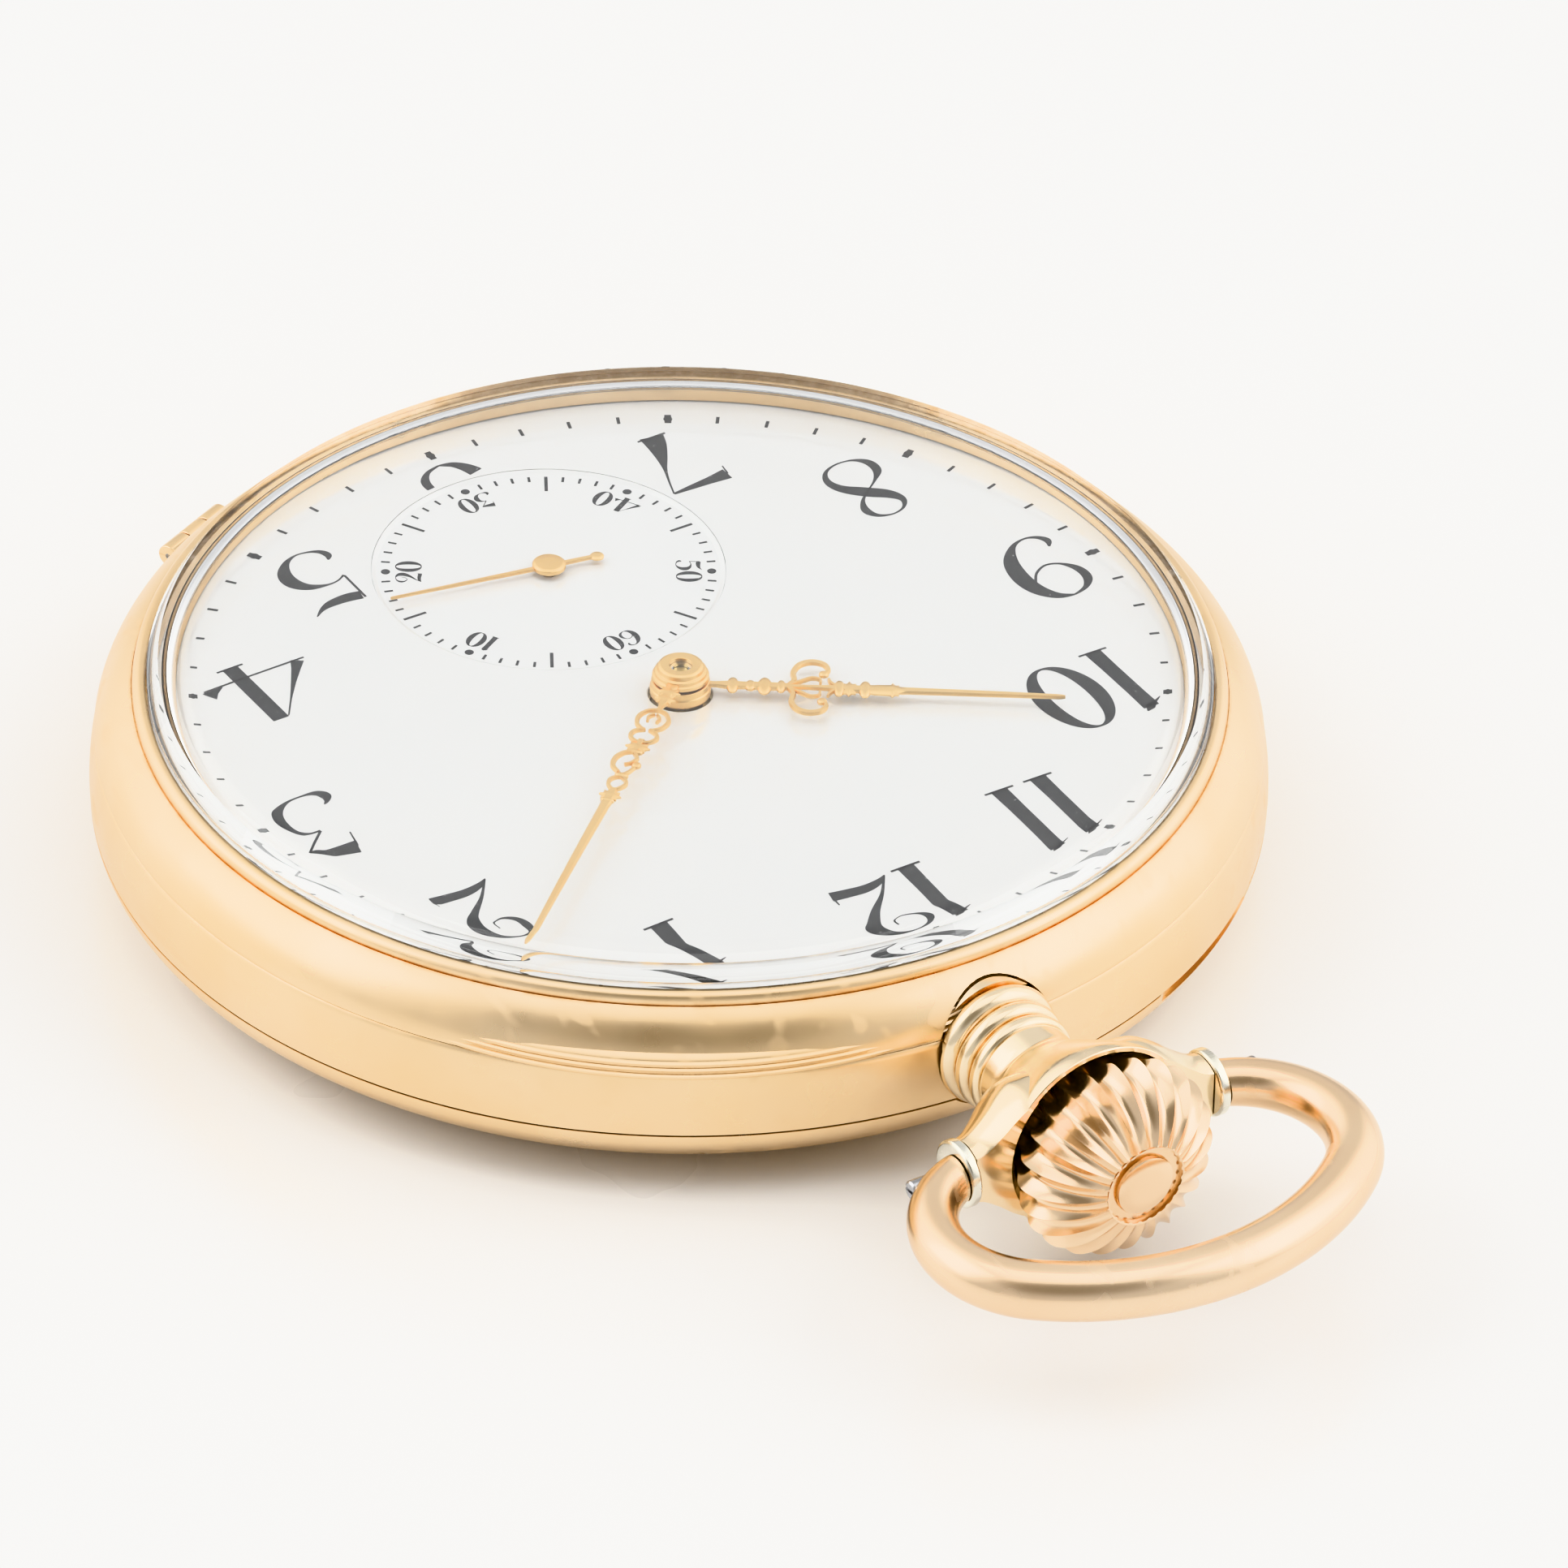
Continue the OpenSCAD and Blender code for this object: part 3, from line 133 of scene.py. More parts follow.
def hinge_frame(z):
    out = polar(1, HINGE_DEG)
    side = polar(1, HINGE_DEG + 90)

    def place(u, v, w):
        p = np.array(HINGE) + out * u + side * w
        return (p[0], p[1], z + v)
    return place


def turned(outline, steps=192, place=along_z, start=0.0, sweep=360.0):
    """Points and faces of a closed outline of (radius, height), turned about an axis."""
    outline = np.array(outline, float)
    n = len(outline)
    whole = sweep >= 360
    count = steps if whole else steps + 1
    verts, faces = [], []
    for i in range(count):
        a = math.radians(start + sweep * i / steps)
        c, s = math.cos(a), math.sin(a)
        verts += [place(r * c, r * s, h) for r, h in outline]
    for i in range(steps):
        j = (i + 1) % count
        for k in range(n):
            m = (k + 1) % n
            if outline[k][0] < 1e-6 and outline[m][0] < 1e-6:
                continue
            faces.append((i * n + k, j * n + k, j * n + m, i * n + m))
    if not whole:
        faces.append(list(range(n)))
        faces.append(list(range((count - 1) * n, count * n)))
    return verts, faces


def lathe(name, outline, steps=192, place=along_z, sharp=32):
    return new_mesh(name, *turned(outline, steps, place), sharp=sharp)


def soften(points, radius, steps=4, chain=False):
    """Rounds the corners of an outline. radius is one value or one for each corner.

    A chain is a part of an outline, and keeps its two ends.
    """
    pts = [np.array(p, float) for p in points]
    radii = radius if isinstance(radius, (list, tuple)) else [radius] * len(pts)
    out = []
    for i, p in enumerate(pts):
        a, b = pts[i - 1], pts[(i + 1) % len(pts)]
        r = radii[i]
        if r <= 0 or p[0] < 1e-6 or (chain and i in (0, len(pts) - 1)):
            out.append(p)
            continue
        la, lb = np.linalg.norm(a - p), np.linalg.norm(b - p)
        r = min(r, la * 0.45, lb * 0.45)
        pa, pb = p + (a - p) / la * r, p + (b - p) / lb * r
        for t in np.linspace(0, 1, steps + 1):
            out.append((1 - t) ** 2 * pa + 2 * t * (1 - t) * p + t * t * pb)
    return out


def arc(a, b, radius, steps):
    """Points from a to b on an arc that bulges outwards, as in part.scad."""
    a, b = np.array(a, float), np.array(b, float)
    m, d = (a + b) / 2, np.linalg.norm(b - a)
    u = (b - a) / d
    c = m + np.array([-u[1], u[0]]) * math.sqrt(radius * radius - d * d / 4)
    t0 = math.atan2(a[1] - c[1], a[0] - c[0])
    t1 = math.atan2(b[1] - c[1], b[0] - c[0])
    return [c + radius * np.array([math.cos(t), math.sin(t)]) for t in np.linspace(t0, t1, steps + 1)]


def joined(name, parts, sharp=32):
    """One object from several (points, faces) shells."""
    verts, faces = [], []
    for v, f in parts:
        base = len(verts)
        verts += list(v)
        faces += [[base + k for k in face] for face in f]
    return new_mesh(name, verts, faces, sharp)


def carve(ob, cutters, sharp=32):
    """Cuts the solids given as (points, faces) out of ob."""
    tools = [new_mesh("cutter", v, f) for v, f in cutters]
    for tool in tools:
        mod = ob.modifiers.new("cut", "BOOLEAN")
        mod.operation = "DIFFERENCE"
        mod.solver = "EXACT"
        mod.object = tool
    bpy.context.view_layer.update()
    cut = bpy.data.meshes.new_from_object(ob.evaluated_get(bpy.context.evaluated_depsgraph_get()))
    ob.modifiers.clear()
    ob.data = cut
    cut.shade_smooth()
    cut.set_sharp_from_angle(angle=math.radians(sharp))
    for tool in tools:
        bpy.data.objects.remove(tool)
    return ob


def bands(rows, around):
    """Faces between closed rows of points, each row with the same count."""
    faces = []
    for i in range(rows - 1):
        for k in range(around):
            m = (k + 1) % around
            faces.append((i * around + k, i * around + m, (i + 1) * around + m, (i + 1) * around + k))
    return faces


def rod(radius, z0, z1, place=along_z, steps=48):
    return turned([(0, z0), (radius, z0), (radius, z1), (0, z1)], steps, place)


def shifted(shell, dx, dy):
    verts, faces = shell
    return [(x + dx, y + dy, z) for x, y, z in verts], faces


def boxed(low, high):
    x0, y0, z0 = low
    x1, y1, z1 = high
    verts = [(x, y, z) for x in (x0, x1) for y in (y0, y1) for z in (z0, z1)]
    faces = [(0, 1, 3, 2), (4, 6, 7, 5), (0, 4, 5, 1), (2, 3, 7, 6), (0, 2, 6, 4), (1, 5, 7, 3)]
    return verts, faces


# ---------- flat shapes for the dial's printing and the hands ----------

def spline(points, per=8, closed=False):
    """Catmull-Rom points through rows of numbers."""
    p = np.array(points, float)
    n = len(p)
    out = []
    spans = n if closed else n - 1
    for i in range(spans):
        if closed:
            a, b, c, d = p[(i - 1) % n], p[i], p[(i + 1) % n], p[(i + 2) % n]
        else:
            a, b, c, d = p[max(i - 1, 0)], p[i], p[i + 1], p[min(i + 2, n - 1)]
        for t in np.arange(per) / per:
            out.append(0.5 * (2 * b + (c - a) * t + (2 * a - 5 * b + 4 * c - d) * t * t
                              + (3 * b - a - 3 * c + d) * t ** 3))
    if not closed:
        out.append(p[-1])
    return np.array(out)


def ribbon(rows, per=8, closed=False):
    """Left and right edges of a stroke given as rows of x, y, width."""
    s = spline(rows, per, closed) if per else np.array(rows, float)
    xy, w = s[:, :2], np.maximum(s[:, 2], 0.0)
    if closed:
        d = np.roll(xy, -1, 0) - np.roll(xy, 1, 0)
    else:
        d = np.gradient(xy, axis=0)
    d /= np.maximum(np.linalg.norm(d, axis=1, keepdims=True), 1e-9)
    side = np.stack([-d[:, 1], d[:, 0]], 1) * w[:, None] / 2
    return xy + side, xy - side, closed


def flat_strip(strip, place):
    """Points and faces of a flat stroke."""
    left, right, closed = strip
    n = len(left)
    verts = [place(p) for p in left] + [place(p) for p in right]
    faces = [(i, (i + 1) % n, n + (i + 1) % n, n + i) for i in range(n if closed else n - 1)]
    return verts, faces


def plate_strip(strip, place, thick):
    """Points and faces of a stroke cut from sheet metal, with its upper edges chamfered."""
    left, right, closed = strip
    n = len(left)
    chamfer, shoulder = 0.15, thick * 0.55
    mid_l = left + (right - left) * chamfer
    mid_r = right + (left - right) * chamfer
    rings = [(left, 0), (left, shoulder), (mid_l, thick), (mid_r, thick), (right, shoulder), (right, 0)]
    verts = []
    for pts, h in rings:
        verts += [place(p, h) for p in pts]
    faces = []
    for k in range(6):
        m = (k + 1) % 6
        for i in range(n if closed else n - 1):
            j = (i + 1) % n
            faces.append((k * n + i, k * n + j, m * n + j, m * n + i))
    if not closed:
        faces.append([k * n for k in range(6)])
        faces.append([k * n + n - 1 for k in range(6)])
    return verts, faces


# Each numeral is a list of strokes (x, y, width), in parts of its height, centred on (0, 0)
STEM = 0.16
HAIR = 0.026


def bar(points):
    """A straight-edged stroke: rows of x, y, width joined without smoothing."""
    return ("bar", points)


def curve(points):
    return ("curve", points)


def ring_stroke(rx, ry, thick_x, thick_y):
    rows = []
    for t in np.linspace(0, 360, 48, endpoint=False):
        c, s = math.cos(math.radians(t)), math.sin(math.radians(t))
        w = thick_y + (thick_x - thick_y) * abs(c) ** 1.4
        rows.append(((rx - thick_x / 2) * c, (ry - thick_y / 2) * s, w))
    return ("loop", rows)


DIGITS = {
    "0": [ring_stroke(0.33, 0.5, STEM, HAIR)],
    "1": [bar([(0, 0.455, STEM), (0, 0.2, STEM * 0.93), (0, -0.2, STEM * 0.93), (0, -0.5, STEM)]),
          bar([(0.07, 0.5, 0.01), (0.01, 0.45, 0.09), (-0.07, 0.405, 0.03), (-0.15, 0.36, 0.012)]),
          bar([(-0.145, -0.49, HAIR), (0.145, -0.49, HAIR)])],
    "2": [curve([(0.02, 0.27, 0.016), (-0.01, 0.13, 0.018), (-0.12, 0.06, 0.02), (-0.24, 0.14, 0.05),
                 (-0.275, 0.29, 0.08), (-0.2, 0.43, 0.045), (-0.04, 0.49, 0.022), (0.12, 0.45, 0.07),
                 (0.215, 0.31, 0.15), (0.2, 0.14, 0.15), (0.06, -0.08, 0.085), (-0.13, -0.27, 0.035),
                 (-0.28, -0.47, 0.018)]),
          curve([(-0.29, -0.48, 0.01), (-0.2, -0.425, 0.07), (-0.05, -0.4, 0.1), (0.12, -0.42, 0.11),
                 (0.27, -0.445, 0.12)]),
          bar([(0.262, -0.39, 0.02), (0.262, -0.32, 0.014)])],
    "3": [curve([(-0.165, 0.41, 0.18), (0.02, 0.375, 0.13), (0.2, 0.34, 0.09), (0.34, 0.345, 0.02)]),
          bar([(-0.168, 0.4, 0.02), (-0.205, 0.19, 0.014)]),
          bar([(0.34, 0.35, HAIR), (0.0, 0.04, HAIR)]),
          curve([(0.0, 0.035, HAIR), (0.11, 0.02, 0.03), (0.225, -0.07, 0.1), (0.265, -0.22, 0.155),
                 (0.2, -0.38, 0.11), (0.05, -0.475, 0.035), (-0.12, -0.485, 0.025), (-0.235, -0.455, 0.07),
                 (-0.285, -0.38, 0.1), (-0.26, -0.31, 0.05), (-0.215, -0.275, 0.014)])],
    "4": [bar([(0.148, 0.485, 0.165), (0.148, -0.5, STEM)]),
          bar([(0.06, 0.47, 0.015), (-0.1, 0.235, 0.02), (-0.25, 0.02, 0.05), (-0.38, -0.16, 0.09),
               (-0.46, -0.275, 0.13)]),
          bar([(-0.54, -0.29, HAIR), (0.55, -0.275, HAIR)]),
          bar([(0.36, -0.26, 0.01), (0.46, -0.225, 0.08), (0.54, -0.185, 0.17)]),
          bar([(0.01, -0.49, HAIR), (0.29, -0.49, HAIR)])],
    "5": [curve([(-0.245, 0.39, 0.13), (-0.1, 0.365, 0.13), (0.08, 0.375, 0.1), (0.2, 0.42, 0.05),
                 (0.3, 0.5, 0.012)]),
          bar([(-0.262, 0.44, HAIR), (-0.268, 0.03, HAIR)]),
          curve([(-0.265, 0.02, HAIR), (-0.17, 0.075, 0.02), (-0.04, 0.085, 0.035), (0.12, 0.03, 0.1),
                 (0.215, -0.1, 0.155), (0.21, -0.26, 0.14), (0.11, -0.41, 0.07), (-0.03, -0.485, 0.025),
                 (-0.17, -0.475, 0.028), (-0.27, -0.42, 0.06), (-0.305, -0.34, 0.075), (-0.27, -0.27, 0.02)])],
    "7": [bar([(-0.31, 0.4, 0.17), (-0.1, 0.41, 0.11), (0.12, 0.42, 0.07), (0.31, 0.43, 0.03)]),
          bar([(-0.315, 0.4, 0.02), (-0.335, 0.26, 0.014)]),
          curve([(0.31, 0.43, 0.018), (0.24, 0.22, 0.022), (0.17, 0.04, 0.04), (0.095, -0.15, 0.115),
                 (0.03, -0.35, 0.2), (0.0, -0.495, 0.245)]),
          bar([(-0.15, -0.49, HAIR), (0.16, -0.49, HAIR)])],
    "8": [("smooth_loop", [(0.02, 0.48, 0.022), (0.15, 0.43, 0.05), (0.205, 0.31, 0.085), (0.15, 0.16, 0.04),
                           (0.02, 0.04, 0.02), (-0.13, -0.08, 0.03), (-0.235, -0.21, 0.09),
                           (-0.23, -0.36, 0.085), (-0.12, -0.465, 0.03), (0.05, -0.485, 0.022),
                           (0.2, -0.42, 0.04), (0.265, -0.28, 0.075), (0.215, -0.12, 0.11),
                           (0.05, 0.04, 0.15), (-0.12, 0.18, 0.13), (-0.19, 0.32, 0.07), (-0.12, 0.44, 0.03)])],
    "9": [curve([(-0.02, 0.485, 0.022), (0.12, 0.42, 0.09), (0.225, 0.25, 0.15), (0.25, 0.02, 0.17),
                 (0.195, -0.23, 0.14), (0.06, -0.42, 0.06), (-0.09, -0.485, 0.025), (-0.21, -0.45, 0.045),
                 (-0.27, -0.36, 0.07), (-0.235, -0.27, 0.02)]),
          curve([(-0.02, 0.485, 0.022), (-0.17, 0.43, 0.05), (-0.265, 0.31, 0.09), (-0.265, 0.15, 0.08),
                 (-0.17, 0.01, 0.03), (-0.04, -0.035, HAIR), (0.09, 0.03, HAIR), (0.17, 0.14, HAIR)])],
}
DIGITS["6"] = [(kind, [(-x, -y, w) for x, y, w in rows]) for kind, rows in DIGITS["9"]]
# Half of the width each numeral takes, in parts of its height
DIGIT_HALF = {"0": 0.34, "1": 0.13, "2": 0.3, "3": 0.33, "4": 0.55,
              "5": 0.31, "6": 0.31, "7": 0.34, "8": 0.29, "9": 0.31}

# For each kind of stroke: points between two of its rows, and whether it closes on itself
PRINT_STROKES = {"bar": (0, False), "curve": (8, False), "loop": (2, True), "smooth_loop": (6, True)}
HAND_STROKES = {"bar": (0, False), "curve": (7, False), "loop": (5, True)}


def digit_shells(digit, height, place, weight=1.0):
    """Flat strokes of one numeral. place takes a point in mm on the numeral's own axes."""
    shells = []
    for kind, rows in DIGITS[digit]:
        rows = [(x * height, y * height, w * height * weight) for x, y, w in rows]
        shells.append(flat_strip(ribbon(rows, *PRINT_STROKES[kind]), place))
    return shells


def number_shells(text, at, height, turn, z, gap=0.07, keep=None, weight=1.0):
    """A number with its top towards the direction turn, in degrees from +Y."""
    widths = [DIGIT_HALF[c] for c in text]
    total = 2 * sum(widths) + gap * (len(text) - 1)
    x = -total / 2
    c, s = math.cos(math.radians(turn)), math.sin(math.radians(turn))
    shells = []
    for ch, half in zip(text, widths):
        ox = (x + half) * height

        def place(p, ox=ox):
            px, py = p[0] + ox, p[1]
            return (at[0] + px * c - py * s, at[1] + px * s + py * c, z)
        found = digit_shells(ch, height, place, weight)
        if keep:
            found = [(v, [f for f in faces if all(keep(v[k]) for k in f)]) for v, faces in found]
        shells += found
        x += 2 * half + gap
    return shells


def mark(at_r, deg, length, width, z, centre=(0.0, 0.0)):
    """A short radial dash."""
    out = polar(1, deg)
    side = polar(1, deg + 90) * width / 2
    near = np.array(centre) + out * (at_r - length / 2)
    far = np.array(centre) + out * (at_r + length / 2)
    return [(p[0], p[1], z) for p in (near - side, near + side, far + side, far - side)], [(0, 1, 2, 3)]


def spot(at, radius, z, steps=16):
    pts = [(at[0] + radius * math.cos(t), at[1] + radius * math.sin(t), z)
           for t in np.linspace(0, 2 * math.pi, steps, endpoint=False)]
    return pts, [list(range(steps))]


# ---------- materials ----------

class Nodes:
    """A small writer of node materials."""

    def __init__(self, name):
        self.mat = bpy.data.materials.new(name)
        self.mat.use_nodes = True
        self.tree = self.mat.node_tree
        self.tree.nodes.clear()
        self.out = self.add("ShaderNodeOutputMaterial")
        self.coords = self.add("ShaderNodeTexCoord").outputs["Object"]

    def add(self, kind, **values):
        node = self.tree.nodes.new(kind)
        for key, value in values.items():
            setattr(node, key, value)
        return node

    def link(self, a, b):
        self.tree.links.new(a, b)

    def put(self, socket, value):
        if isinstance(value, bpy.types.NodeSocket):
            self.link(value, socket)
        else:
            socket.default_value = value

    def maths(self, op, a, b=0.0):
        node = self.add("ShaderNodeMath", operation=op)
        for k, v in enumerate((a, b)):
            self.put(node.inputs[k], v)
        return node.outputs[0]

    def noise(self, scale, detail=2.0, rough=0.5, stretch=None, turn=(0, 0, 0), vector=None):
        vec = vector or self.coords
        if stretch:
            m = self.add("ShaderNodeMapping")
            self.link(vec, m.inputs["Vector"])
            m.inputs["Scale"].default_value = stretch
            m.inputs["Rotation"].default_value = [math.radians(t) for t in turn]
            vec = m.outputs[0]
        n = self.add("ShaderNodeTexNoise")
        self.link(vec, n.inputs["Vector"])
        n.inputs["Scale"].default_value = scale
        n.inputs["Detail"].default_value = detail
        n.inputs["Roughness"].default_value = rough
        return n.outputs["Fac"]

    def ramp(self, fac, low, high, a=0.0, b=1.0):
        """Maps fac from low..high to a..b, clamped."""
        n = self.add("ShaderNodeMapRange")
        self.put(n.inputs["Value"], fac)
        for key, v in (("From Min", low), ("From Max", high), ("To Min", a), ("To Max", b)):
            n.inputs[key].default_value = v
        return n.outputs["Result"]

    def mix(self, fac, a, b):
        n = self.add("ShaderNodeMix", data_type="RGBA")
        self.put(n.inputs[0], fac)
        self.put(n.inputs[6], a if isinstance(a, bpy.types.NodeSocket) else (*a, 1.0))
        self.put(n.inputs[7], b if isinstance(b, bpy.types.NodeSocket) else (*b, 1.0))
        return n.outputs[2]

    def turned_coords(self, centre=(0.0, 0.0), axis="z"):
        """Radius, angle and height round an axis, for marks left by turning."""
        sep = self.add("ShaderNodeSeparateXYZ")
        self.link(self.coords, sep.inputs[0])
        x = self.maths("SUBTRACT", sep.outputs[0], centre[0] * MM)
        if axis == "z":
            y, h = self.maths("SUBTRACT", sep.outputs[1], centre[1] * MM), sep.outputs[2]
        else:
            y, h = self.maths("SUBTRACT", sep.outputs[2], STEM_Z * MM), sep.outputs[1]
        r = self.maths("SQRT", self.maths("ADD", self.maths("MULTIPLY", x, x), self.maths("MULTIPLY", y, y)))
        a = self.maths("MULTIPLY", self.maths("ARCTAN2", y, x), 0.0004)
        comb = self.add("ShaderNodeCombineXYZ")
        for k, v in enumerate((r, a, h)):
            self.link(v, comb.inputs[k])
        return comb.outputs[0], r, h

    def bump(self, height, strength, distance, normal=None):
        n = self.add("ShaderNodeBump")
        n.inputs["Strength"].default_value = strength
        n.inputs["Distance"].default_value = distance
        self.put(n.inputs["Height"], height)
        if normal:
            self.link(normal, n.inputs["Normal"])
        return n.outputs[0]

    def finish(self, color, roughness, normal=None, metallic=1.0, **more):
        b = self.add("ShaderNodeBsdfPrincipled")
        self.put(b.inputs["Base Color"], color if isinstance(color, bpy.types.NodeSocket) else (*color, 1.0))
        self.put(b.inputs["Roughness"], roughness)
        b.inputs["Metallic"].default_value = metallic
        if normal:
            self.link(normal, b.inputs["Normal"])
        for key, value in more.items():
            b.inputs[key.replace("_", " ")].default_value = value
        self.link(b.outputs[0], self.out.inputs["Surface"])
        return self.mat


def hairline_scratches(m, scale=900.0, amount=0.66):
    """Three sets of long thin marks that cross at odd angles."""
    sets = []
    for turn in ((0, 0, 20), (12, 0, 78), (0, 9, 141)):
        n = m.noise(scale, 1.0, 0.5, stretch=(1.0, 0.045, 1.0), turn=turn)
        sets.append(m.ramp(n, amount, amount + 0.08))
    return m.maths("MAXIMUM", m.maths("MAXIMUM", sets[0], sets[1]), sets[2])


def gold_material(name, base, deep, centre=(0.0, 0.0), axis="z", rough=0.3, tarnish=(),
                  line=(0.60, 0.36, 0.15)):
    """Worn gold with turning marks, fine scratches and smears, a deeper tone in seams, and painted shade in
    corners.

    tarnish lists seams as ("r" or "h", radius or height in mm, width in mm).
    """
    m = Nodes(name)
    turned_vec, r, h = m.turned_coords(centre, axis)
    smear = m.noise(95, 3, 0.5)
    blotch = m.noise(300, 3, 0.55)
    lines = m.noise(2600, 2, 0.6, stretch=(1.0, 6.0, 1.0), vector=turned_vec)
    marks = hairline_scratches(m)
    tone = m.mix(m.ramp(smear, 0.35, 0.7), base, deep)
    tone = m.mix(m.ramp(blotch, 0.52, 0.8, 0.0, 0.45), tone, deep)
    # Painted shade: where occlusion finds a concave corner within 0.35 mm, the tone is darkened towards line
    # and broken into grains by noise.
    corner = m.add("ShaderNodeAmbientOcclusion", samples=4)
    corner.inputs["Distance"].default_value = 0.00035
    painted_corner_shade = m.maths("MULTIPLY", m.ramp(corner.outputs["AO"], 0.35, 0.8, 1.0, 0.0),
                    m.ramp(m.noise(1500, 4, 0.7), 0.35, 0.6, 0.25, 0.9))
    tone = m.mix(painted_corner_shade, tone, line)
    for value, at, width in tarnish:
        gap = m.maths("ABSOLUTE", m.maths("SUBTRACT", r if value == "r" else h, at * MM))
        edge = m.ramp(gap, 0.0, width * MM, 1.0, 0.0)
        edge = m.maths("MULTIPLY", edge, m.ramp(m.noise(900, 4, 0.7), 0.38, 0.6, 0.1, 0.8))
        tone = m.mix(edge, tone, line)
    roughness = m.maths("ADD", m.ramp(blotch, 0.3, 0.75, rough * 0.85, rough * 1.15),
                        m.maths("MULTIPLY", marks, 0.10))
    height = m.maths("ADD", m.maths("MULTIPLY", lines, 0.5), m.maths("MULTIPLY", marks, -0.3))
    normal = m.bump(height, 0.12, 0.00001)
    return m.finish(tone, roughness, normal)


def steel_material(name, base, dark, rough=0.2):
    """Steel with a drawn grain, stains and hairline scratches."""
    m = Nodes(name)
    grain = m.noise(1400.0, 3, 0.6, stretch=(1.0, 12.0, 1.0), turn=(0, 0, 35))
    stain = m.noise(420, 4, 0.6)
    marks = hairline_scratches(m, 1300, 0.64)
    tone = m.mix(m.ramp(stain, 0.4, 0.75), base, dark)
    roughness = m.maths("ADD", m.ramp(grain, 0.3, 0.7, rough * 0.7, rough * 1.3),
                        m.maths("MULTIPLY", marks, 0.12))
    normal = m.bump(m.maths("ADD", grain, m.maths("MULTIPLY", marks, -0.8)), 0.15, 0.00001)
    return m.finish(tone, roughness, normal)


def striped_nickel(name):
    """Bridges with broad decorative stripes and a fine frosting."""
    m = Nodes(name)
    sep = m.add("ShaderNodeSeparateXYZ")
    m.link(m.coords, sep.inputs[0])
    run = m.maths("ADD", m.maths("MULTIPLY", sep.outputs[0], 0.82), m.maths("MULTIPLY", sep.outputs[1], 0.57))
    phase = m.maths("FRACT", m.maths("DIVIDE", run, 0.0016))
    brush = m.noise(3000, 2, 0.6, stretch=(0.3, 3.0, 1.0), turn=(0, 0, 35))
    tone = m.mix(m.ramp(phase, 0.0, 1.0), (0.80, 0.78, 0.72), (0.60, 0.58, 0.54))
    tone = m.mix(m.ramp(m.noise(500, 4, 0.6), 0.5, 0.8, 0.0, 0.4), tone, (0.72, 0.66, 0.5))
    height = m.maths("ADD", phase, m.maths("MULTIPLY", brush, 0.35))
    return m.finish(tone, m.ramp(brush, 0.3, 0.7, 0.2, 0.36), m.bump(height, 0.35, 0.00004))


def gilt_material(name):
    """Gilded brass with a matt grain and turning rings."""
    m = Nodes(name)
    grain = m.noise(5200, 3, 0.7)
    stain = m.noise(360, 4, 0.6)
    tone = m.mix(m.ramp(stain, 0.35, 0.7), (0.82, 0.62, 0.27), (0.66, 0.45, 0.17))
    return m.finish(tone, m.ramp(grain, 0.3, 0.7, 0.24, 0.42), m.bump(grain, 0.25, 0.00001))


def enamel_material(name, tone_a, tone_b):
    """Fired white enamel: a glassy coat over a faintly uneven white, with a few specks."""
    m = Nodes(name)
    wave = m.noise(55, 3, 0.5)
    fine = m.noise(2200, 3, 0.6)
    tone = m.mix(m.ramp(wave, 0.35, 0.7), tone_a, tone_b)
    specks = m.ramp(m.noise(1500, 2, 0.5), 0.79, 0.83)
    tone = m.mix(m.maths("MULTIPLY", specks, 0.35), tone, (0.45, 0.42, 0.38))
    return m.finish(tone, m.ramp(fine, 0.3, 0.7, 0.10, 0.17), m.bump(wave, 0.04, 0.00003), metallic=0.0,
                    Coat_Weight=0.6, Coat_Roughness=0.05)


def print_material(name):
    """Fired black numerals, pitted so that white grains of the enamel show through."""
    m = Nodes(name)
    pits = m.ramp(m.noise(5200, 3, 0.75), 0.665, 0.70)
    shade = m.noise(700, 3, 0.6)
    tone = m.mix(m.ramp(shade, 0.3, 0.7), (0.012, 0.014, 0.016), (0.030, 0.030, 0.031))
    tone = m.mix(m.maths("MULTIPLY", pits, 0.8), tone, (0.62, 0.62, 0.61))
    return m.finish(tone, m.ramp(shade, 0.3, 0.7, 0.35, 0.5), m.bump(pits, 0.3, 0.00001), metallic=0.0,
                    Specular_IOR_Level=0.25)


def glass_material(name):
    """Clear crystal with faint wipe marks and a few hairline scratches."""
    m = Nodes(name)
    wipe = m.noise(260, 4, 0.6)
    marks = hairline_scratches(m, 420, 0.70)
    tone = m.mix(m.ramp(wipe, 0.3, 0.8), (0.985, 0.99, 0.99), (0.97, 0.98, 0.985))
    roughness = m.maths("ADD", m.ramp(wipe, 0.5, 0.85, 0.0, 0.012), m.maths("MULTIPLY", marks, 0.05))
    return m.finish(tone, roughness, m.bump(marks, 0.03, 0.000004), metallic=0.0,
                    Transmission_Weight=1.0, IOR=1.5)


def ruby_material(name):
    """Synthetic ruby, cloudy and polished."""
    m = Nodes(name)
    cloud = m.noise(2400, 3, 0.6)
    tone = m.mix(m.ramp(cloud, 0.3, 0.7), (0.62, 0.02, 0.07), (0.36, 0.01, 0.04))
    return m.finish(tone, m.ramp(cloud, 0.3, 0.7, 0.05, 0.12), m.bump(cloud, 0.05, 0.000005), metallic=0.0,
                    Coat_Weight=0.5, Coat_Roughness=0.04)
